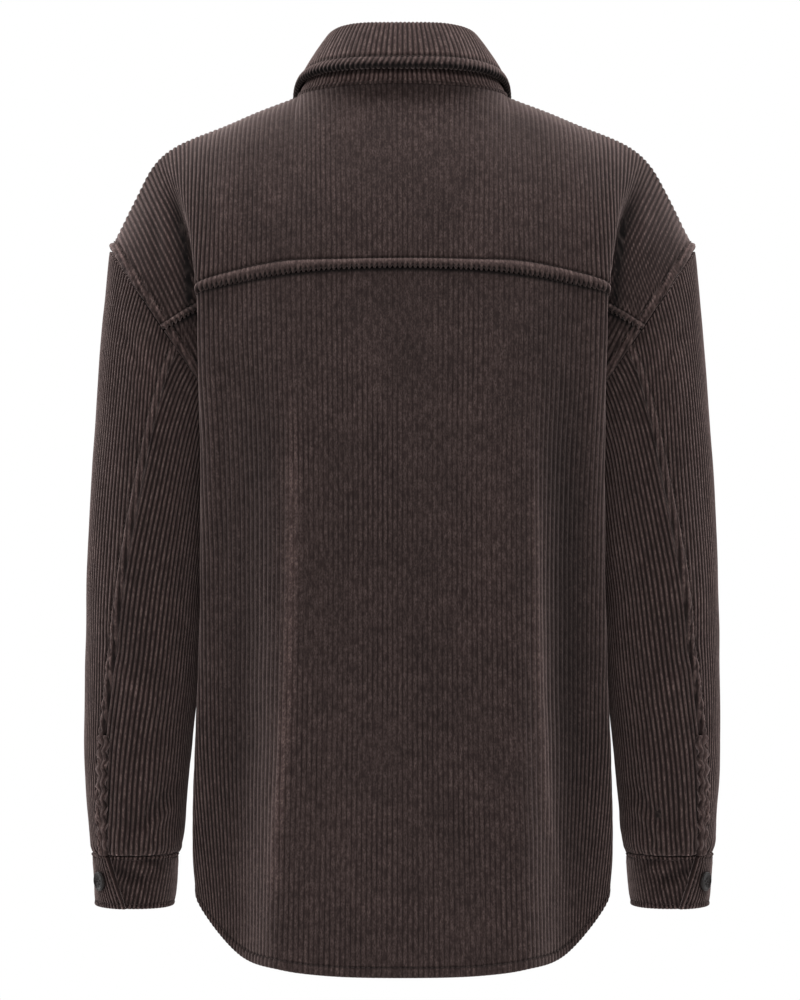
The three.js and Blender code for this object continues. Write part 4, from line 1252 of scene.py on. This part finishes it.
def make_sleeve(name, side, which):
    """The main piece of a sleeve, or the narrow one at its back, down to the cuff."""
    main = which == "main"
    us = np.linspace(0, 1, 361)

    def surface(at, t):
        ring = mix(0.03, LAST_RING, t)
        seam = seam_angle(ring)
        main_ends = (seam - SLEEVE_EDGE, SLEEVE_EDGE - 180)
        start, end = main_ends if main else (180 - SLEEVE_EDGE, seam + SLEEVE_EDGE)
        return sleeve(mix(start, end, at), ring)

    points, normals, lengths = lay(surface, us, SLEEVE_TS)
    wales = from_line(lengths, 162 if main else 180)
    sheet = follow_wales(points, normals, wales, us, whole_phases(wales.min(), wales.max()))
    seam_side, other_side = sheet["edge_low"], sheet["edge_high"]
    if main:
        pucker = 0.3 + 0.9 * ease(0.4, 0.7, SLEEVE_TS)[:, None]
        sheet = lap_finish(sheet, seam_side, 1, pucker)
    else:
        seam_side, other_side = other_side, seam_side
        raise_pile(sheet, rounded(seam_side, CUT_EDGE))
        # Painted shadow beside the vent's binding
        paint_light_and_shade(sheet, -0.6 * hump(seam_side, 5, 2.2) * ease(0.6, 0.78, SLEEVE_TS)[:, None])
    raise_pile(sheet, rounded(other_side, CUT_EDGE))
    above = ((1 - SLEEVE_TS) * SLEEVE_LENGTH)[:, None]
    gather = np.sin(sheet["wale"] * (math.tau * WALE / 14) + 2.2 * np.sin(sheet["wale"] * 0.4))
    raise_pile(sheet, 0.9 * gather * np.exp(-above / 16) + rounded(above, 2.0) - 1.5 * hump(above, 0, 8))
    # Painted light on the gathers and highlight dots along the seam to the cuff, painted shade at the edge
    caught = 2.2 * hump(above, 2.4, 0.9) * np.sin(sheet["wale"] * 2.3) ** 4
    paint_light_and_shade(sheet, 0.25 * gather * np.exp(-above / 12) + caught - 0.3 * hump(above, 0, 1.2))
    if side < 0:
        sheet = mirrored(sheet)
    seed = 91 + 10 * side + (not main) * 5
    sheet = give_wales(creased(sheet, worn_on(side, SLEEVE_FOLDS)), seed=seed, height=1.05, depth_and_shade=0.95)
    return cloth_piece(name, [sheet]), sheet


CUFF_HEIGHT = 42.6
CUFF_TS = rows_at(CUFF_HEIGHT, 4.0, (0.4, 1.2, 2.2, 3.0, 3.8), (0.4, 1.0, 2.0, 3.2, 4.0, 4.8))
# Each fold: side, width, height, painted light (painted shade below 0), then points (x, z) along it
CUFF_FOLDS = [
    (1, 3.2, -1.8, -0.6, (236, -617), (226, -622), (214, -626), (200, -630)),
    (1, 4, 1.4, 0.2, (232, -628), (218, -634), (206, -637)),
    (1, 4, 1.2, 0.25, (222, -606), (210, -614), (196, -622)),
    (1, 3, -1.2, -0.4, (212, -604), (204, -612), (190, -618)),
    (-1, 4, -1.4, -0.4, (238, -618), (222, -622), (206, -620)),
    (-1, 5, 1.2, 0.2, (236, -628), (220, -632), (202, -628))]


def make_cuff(name, side):
    """A cuff, from the edge that shows at its opening round to the end that is lapped under."""
    shares = np.linspace(0, 1, 801)
    turn = 360 + CUFF_OVERLAP

    def surface(at, height):
        slant = (height - 0.5) * 28 * (1 - ease(0, 70, at * turn))
        points = cuff_surface(CUFF_END_ANGLE + slant - at * turn, height)
        middle = (cuff_surface(np.array([0.0]), height) + cuff_surface(np.array([180.0]), height)) / 2
        past = ease(270, 352, at * turn)[:, None]
        return points + unit(middle - points) * (DOUBLED + 0.6) * past

    points, normals, lengths = lay(surface, shares, CUFF_TS)
    wales = (lengths - lengths[:, :1]) / lengths[:, -1:] * round(lengths[0, -1] / (WALE * 0.9))
    sheet = follow_wales(points, normals, wales, shares, whole_phases(0, wales.max()))
    top = (CUFF_TS * CUFF_HEIGHT)[:, None]
    bottom = ((1 - CUFF_TS) * CUFF_HEIGHT)[:, None]
    sheet["raised"] = 0.5 + rounded(np.minimum(top, bottom), 1.6) + rounded(sheet["edge_low"], 1.6)
    gather = np.sin(sheet["wale"] * (math.tau * WALE / 9) + 2 * np.sin(sheet["wale"] * 0.5))
    raise_pile(sheet, 0.5 * gather * np.exp(-top / 6))
    # Painted light on the gathers and the lapped end's edge, and highlight dots along the top
    paint_light_and_shade(sheet, 0.35 * gather * np.exp(-top / 5) + 0.6 * hump(sheet["edge_low"], 1.4, 1.2))
    paint_light_and_shade(sheet, 0.9 * hump(top, 1.6, 1.0) * np.sin(sheet["wale"] * 3.6) ** 2)
    for away, place in ((top, CUFF_TOP_STITCH), (bottom, CUFF_STITCH), (sheet["edge_low"], CUFF_STITCH)):
        sheet = sewn(sheet, away, place)
    between = ease(8, 40, sheet["edge_low"]) * ease(0, 30, sheet["edge_high"])
    sheet["lean"] = 3.2 * (1 - CUFF_TS)[:, None] * between
    if side < 0:
        sheet = mirrored(sheet)
    sheet = creased(sheet, worn_on(side, CUFF_FOLDS))
    sheet = give_wales(sheet, seed=121 + side, height=1.0, slack=0.7, depth_and_shade=1.1)
    return cloth_piece(name, [sheet], wall=DOUBLED), sheet


def make_vent_binding(name, side):
    """The strip that binds the opening above the cuff."""
    bottom = LAST_RING - 0.02
    rings = np.linspace(0, LAST_RING, 801)
    heights = np.array([sleeve(seam_angle(ring), ring)[2] for ring in rings])
    top = float(np.interp(-(SLEEVE["outer_z"][-1] + VENT_LENGTH), -heights, rings))
    us = np.linspace(-1, 1, 41)

    def surface(at, share):
        ring = mix(top, bottom, share)
        return sleeve(seam_angle(ring) - at * VENT_HALF_TURN, ring)

    ts = rows_at(VENT_LENGTH, 2.4, (0.4, 1.2), (0.5,))
    points, normals, lengths = lay(surface, us, ts)
    wales = from_line(lengths, len(us) // 2)
    sheet = follow_wales(points, normals, wales, us, whole_phases(wales.min(), wales.max()))
    sheet["base"] = sheet["base"] + sheet["out"] * (LAYER - 0.4)
    ends = (ts * VENT_LENGTH)[:, None]
    near = np.minimum(sheet["edge_low"], sheet["edge_high"])
    across = (sheet["edge_low"] - sheet["edge_high"]) / 10
    turn = math.tau * sheet["along"] / 13
    twist = np.sin(turn) * across
    sideways = unit(sheet["base"][:, -1] - sheet["base"][:, 0])[:, None, :]
    free = 1 - ease(0.7, 1, sheet["along"] / VENT_LENGTH)
    sheet["base"] = sheet["base"] + sideways * (1.5 * np.cos(turn) * free)[..., None]
    sheet["raised"] = rounded(near, 1.3) + rounded(ends, 1.2) + 2.2 * twist + 1.0
    # Painted light and shade over the twists of the binding
    sheet["bloom"] = 0.9 * twist + 0.3
    if side < 0:
        sheet = mirrored(sheet)
    sheet = give_wales(sheet, seed=131 + side, height=0.8, slack=0.7)
    return cloth_piece(name, [sheet], wall=CLOTH - 0.5), sheet


# Buttons

HOLE_OUT = (-BUTTON["hole_out"], BUTTON["hole_out"])
HOLES = [(x, y) for x in HOLE_OUT for y in HOLE_OUT]


def linked(name, mesh):
    """An object for a mesh, in the scene."""
    made = bpy.data.objects.new(name, mesh)
    bpy.context.collection.objects.link(made)
    return made


def meshed(name, bm):
    """A mesh from a finished bmesh."""
    mesh = bpy.data.meshes.new(name)
    bm.to_mesh(mesh)
    bm.free()
    return mesh


def button_mesh():
    """A dished, four-holed button, its back on the plane and its face along +Z."""
    radius, thickness = BUTTON["radius"], BUTTON["thickness"]
    rim = radius - BUTTON["rim"]
    dished = thickness - BUTTON["dish"]
    profile = [
        (0, 0), (radius - 1.2, 0), (radius - 0.3, 0.3), (radius, 1), (radius, 2.2), (radius - 0.25, 2.9),
        (radius - 0.8, thickness), (rim, thickness - 0.1), (rim - 0.9, dished), (0, dished)]
    bm = bmesh.new()
    line = [bm.verts.new((r * MM, 0, h * MM)) for r, h in profile]
    edges = [bm.edges.new(pair) for pair in zip(line, line[1:])]
    bmesh.ops.spin(
        bm, geom=line + edges, cent=(0, 0, 0), axis=(0, 0, 1), angle=math.tau, steps=40, use_merge=True,
        use_duplicate=False)
    bmesh.ops.remove_doubles(bm, verts=bm.verts[:], dist=1e-6)
    bmesh.ops.recalc_face_normals(bm, faces=bm.faces[:])
    blank = linked("button blank", meshed("button blank", bm))
    drill = bmesh.new()
    hole = BUTTON["hole"] * MM
    for x, y in HOLES:
        bmesh.ops.create_cone(
            drill, cap_ends=True, segments=14, radius1=hole, radius2=hole, depth=12 * MM,
            matrix=Matrix.Translation((x * MM, y * MM, 0)))
    cutter = linked("button holes", meshed("button holes", drill))
    cut = blank.modifiers.new("holes", "BOOLEAN")
    cut.operation = "DIFFERENCE"
    cut.object = cutter
    cut.solver = "EXACT"
    bpy.context.view_layer.update()
    drilled = bpy.data.meshes.new_from_object(blank.evaluated_get(bpy.context.evaluated_depsgraph_get()))
    bpy.data.objects.remove(blank)
    bpy.data.objects.remove(cutter)
    return drilled


def place_button(node_name, blank, at, out, threads):
    """Sews a button on at a point, and adds its crossed threads to the list."""
    turn = Vector((0, 0, 1)).rotation_difference(Vector(out)).to_matrix().to_4x4()
    mesh = blank.copy()
    mesh.transform(Matrix.Translation(Vector(at) * MM) @ turn)
    for polygon in mesh.polygons:
        polygon.use_smooth = True
    button = placed(node_name + "_sewn", mesh, [BUTTON_MATERIAL])
    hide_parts(node_name)
    face = BUTTON["thickness"] - BUTTON["dish"] + 0.3
    for y in HOLE_OUT:
        ends = [turn @ Vector((x, y, face)) + Vector(at) for x in (-1.9, 1.9)]
        threads.append((np.array([list(end) for end in ends]), np.tile(np.array(out, float), (2, 1))))
    return button


# Sewing

SEWN = []


def half_of(sheet, side):
    """The columns of a whole sheet on one side of the middle."""
    middle = sheet["base"].shape[1] // 2
    columns = slice(middle, None) if side > 0 else slice(middle, None, -1)
    return {name: value[:, columns] for name, value in sheet.items()}


def level(sheet):
    """The sheet with its wales smoothed away, as thread rides over them."""
    window = np.ones(2 * STEPS_PER_WALE + 1) / (2 * STEPS_PER_WALE + 1)
    out = dict(sheet)
    pad = STEPS_PER_WALE
    padded = [np.pad(row, pad, mode="edge") for row in sheet["raised"]]
    out["raised"] = np.array([np.convolve(row, window, "valid") for row in padded])
    return out


def sew_row(sheet, row_at, keep=None):
    """Stitches along a sheet at a fractional row."""
    SEWN.append(row_run(level(sheet), row_at, keep))


def sew_edge(sheet, distance, rows, key="edge_high"):
    """Stitches beside a sheet's edge, down some of its rows."""
    SEWN.append(edge_run(level(sheet), distance, rows, key))


def row_number(ts, share):
    """The fractional row at a share of the length."""
    return float(np.interp(share, ts, np.arange(len(ts))))


def sew_body(back, yoke, left, right, placket):
    """The rows on the hem, the yoke, the armholes and the placket."""
    sew_row(back, row_number(BACK_TS, 1 + HEM_STITCH / BACK_LENGTH))
    sew_row(yoke, row_number(YOKE_TS, LAP_STITCH / YOKE_LENGTH))
    armhole_rows = [i for i, t in enumerate(BACK_TS) if t < BACK_UNDERARM * 0.98]
    for side in (1, -1):
        sew_edge(half_of(back, side), LAP_STITCH, armhole_rows)
        sew_edge(half_of(yoke, side), LAP_STITCH, range(len(YOKE_TS)))
    armhole_rows = [i for i, t in enumerate(FRONT_TS) if t < FRONT_UNDERARM * 0.98]
    for sheet in (left, right):
        sew_edge(sheet, LAP_STITCH, armhole_rows)
        sew_row(sheet, row_number(FRONT_TS, 1 - HEM_STITCH / FRONT_LENGTH))
    for key in ("edge_low", "edge_high"):
        sew_edge(placket, PLACKET_STITCH, range(len(FRONT_TS)), key)


def sew_collar(stand, fall):
    """The row that joins the stand, and the one round the fall."""
    sew_row(stand, row_number(STAND_TS, STAND_STITCH / 2 / STAND_WIDTH))
    kept = np.minimum(fall["edge_low"], fall["edge_high"])[0] > COLLAR_STITCH
    sew_row(fall, row_number(FALL_TS, 1 - COLLAR_STITCH / FALL_WIDTH), kept)


def sew_sleeve(main, cuff):
    """The rows down the sleeve's back seam and round the cuff."""
    sew_edge(main, LAP_STITCH, range(len(SLEEVE_TS)), "edge_low")
    sew_row(cuff, row_number(CUFF_TS, CUFF_TOP_STITCH / CUFF_HEIGHT))
    sew_row(cuff, row_number(CUFF_TS, 1 - CUFF_STITCH / CUFF_HEIGHT))
    sew_edge(cuff, CUFF_STITCH, range(2, len(CUFF_TS) - 2), "edge_low")


# Making it all

def declare(piece, cut, node_name):
    """Hides the solid that a piece of cloth stands for; piece and cut are not used."""
    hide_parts(node_name)


def make_body():
    """The back, the yoke, the fronts and the placket, and their stitches."""
    made = {
        "back": make_back(),
        "yoke": make_yoke(),
        "front_left": make_front("front_left_cloth", 1),
        "front_right": make_front("front_right_cloth", -1),
        "placket_right": make_placket()}
    for name, (piece, _) in made.items():
        declare(piece, name, name)
    sew_body(*(sheet for _, sheet in made.values()))


def make_collar():
    """The stand and the fall, and their stitches."""
    stand, stand_sheet = make_stand()
    fall, fall_sheet = make_fall()
    declare(stand, "collar_stand", "collar_stand")
    declare(fall, "collar_fall", "collar_fall")
    sew_collar(stand_sheet, fall_sheet)


def make_sleeves():
    """Both sleeves with their cuffs and bound openings, and their stitches."""
    for word, side in (("left", 1), ("right", -1)):
        main, main_sheet = make_sleeve(f"sleeve_main_{word}_cloth", side, "main")
        behind, _ = make_sleeve(f"sleeve_back_{word}_cloth", side, "back")
        cuff, cuff_sheet = make_cuff(f"cuff_{word}_cloth", side)
        binding, _ = make_vent_binding(f"vent_binding_{word}_cloth", side)
        declare(main, "sleeve_main", f"sleeve_main_{word}")
        declare(behind, "sleeve_back", f"sleeve_back_{word}")
        declare(cuff, "cuff", f"cuff_{word}")
        declare(binding, "vent_binding", f"vent_binding_{word}")
        sew_sleeve(main_sheet, cuff_sheet)


def make_buttons():
    """All the buttons, sewn on, and the runs of their threads."""
    blank = button_mesh()
    threads = []
    out, middle = front_middle_out()
    for i in range(FRONT_BUTTONS["count"]):
        height = FRONT_BUTTONS["first"] + i * FRONT_BUTTONS["step"]
        row = float(np.interp(-height, -middle[:, 2], np.arange(len(middle))))
        k = int(row)
        at = mix(middle[k], middle[k + 1], row - k)
        facing = unit(mix(out[k], out[k + 1], row - k))
        place_button(f"button_front_{i + 1}", blank, at + facing * (LAYER + 0.9), facing, threads)
    at, above = (stand_surface(np.array([180.0]), share)[0] for share in (0.5, 0.6))
    facing = unit(np.array([0, at[2] - above[2], above[1] - at[1]]))
    facing = facing if facing[1] < 0 else -facing
    place_button("button_collar", blank, np.array([0, at[1], at[2]]) + facing * 0.9, facing, threads)
    at, lower = (cuff_surface(np.array([float(CUFF_BUTTON_ANGLE)]), share)[0] for share in (0.5, 0.6))
    facing = unit(np.cross(cuff_surface(np.array([CUFF_BUTTON_ANGLE - 1.0]), 0.5)[0] - at, lower - at))
    for word, side in (("left", 1), ("right", -1)):
        turn = np.array([side, 1, 1])
        place_button(f"button_cuff_{word}", blank, (at + facing * 1.3) * turn, facing * turn, threads)
    return threads


# The studio

FLOOR_HEIGHT = -1.05
FLOOR_HALF = 2.4
FLOOR_GREY = 0.86
SKY_LIGHT = 0.26
LAMP_AIM = (0, 0, -0.3)
# Each lamp: name, place, width and height in metres, and watts
LAMPS = [
    ("top", (0, 0.2, 2.0), (2.4, 0.8), 66),
    ("camera side", (0, 3.2, 0.7), (1.0, 0.7), 40),
    ("left rim", (2.2, -1.1, 0.4), (0.6, 1.6), 24),
    ("right rim", (-2.2, -1.1, 0.4), (0.6, 1.6), 15),
    ("front side", (0.6, -3.0, 0.9), (1.8, 1.8), 40)]


def make_floor():
    """A plain pale floor, well below the garment."""
    bm = bmesh.new()
    bmesh.ops.create_grid(bm, x_segments=1, y_segments=1, size=FLOOR_HALF)
    floor = linked("floor", meshed("floor", bm))
    floor.location = (0, 0, FLOOR_HEIGHT)
    material, _, _, surface = shader("floor")
    surface.inputs["Base Color"].default_value = (FLOOR_GREY, FLOOR_GREY, FLOOR_GREY, 1)
    surface.inputs["Roughness"].default_value = 0.9
    floor.data.materials.append(material)


def make_world():
    """Soft light from all round, and pure white behind the garment."""
    world = bpy.data.worlds.new("studio")
    world.use_nodes = True
    nodes, links = world.node_tree.nodes, world.node_tree.links
    light = nodes["Background"]
    light.inputs["Color"].default_value = (1, 1, 1, 1)
    light.inputs["Strength"].default_value = SKY_LIGHT
    seen = node(nodes, "ShaderNodeBackground", Color=(1, 1, 1, 1), Strength=1.0)
    rays = node(nodes, "ShaderNodeLightPath")
    either = node(nodes, "ShaderNodeMixShader")
    links.new(rays.outputs["Is Camera Ray"], either.inputs["Fac"])
    links.new(light.outputs[0], either.inputs[1])
    links.new(seen.outputs[0], either.inputs[2])
    links.new(either.outputs[0], nodes["World Output"].inputs["Surface"])
    bpy.context.scene.world = world


def make_lamp(name, place, size, power):
    """A soft rectangular lamp, turned to the garment."""
    light = bpy.data.lights.new(name, "AREA")
    light.shape = "RECTANGLE"
    light.size, light.size_y = size
    light.energy = power
    lamp = linked(name, light)
    lamp.location = place
    lamp.rotation_euler = (Vector(LAMP_AIM) - Vector(place)).to_track_quat("-Z", "Y").to_euler()


make_body()
make_collar()
make_sleeves()
stitches("stitching", SEWN + make_buttons())
make_floor()
make_world()
for lamp_row in LAMPS:
    make_lamp(*lamp_row)
bpy.context.scene.view_settings.view_transform = "Standard"
bpy.context.scene.render.film_transparent = False
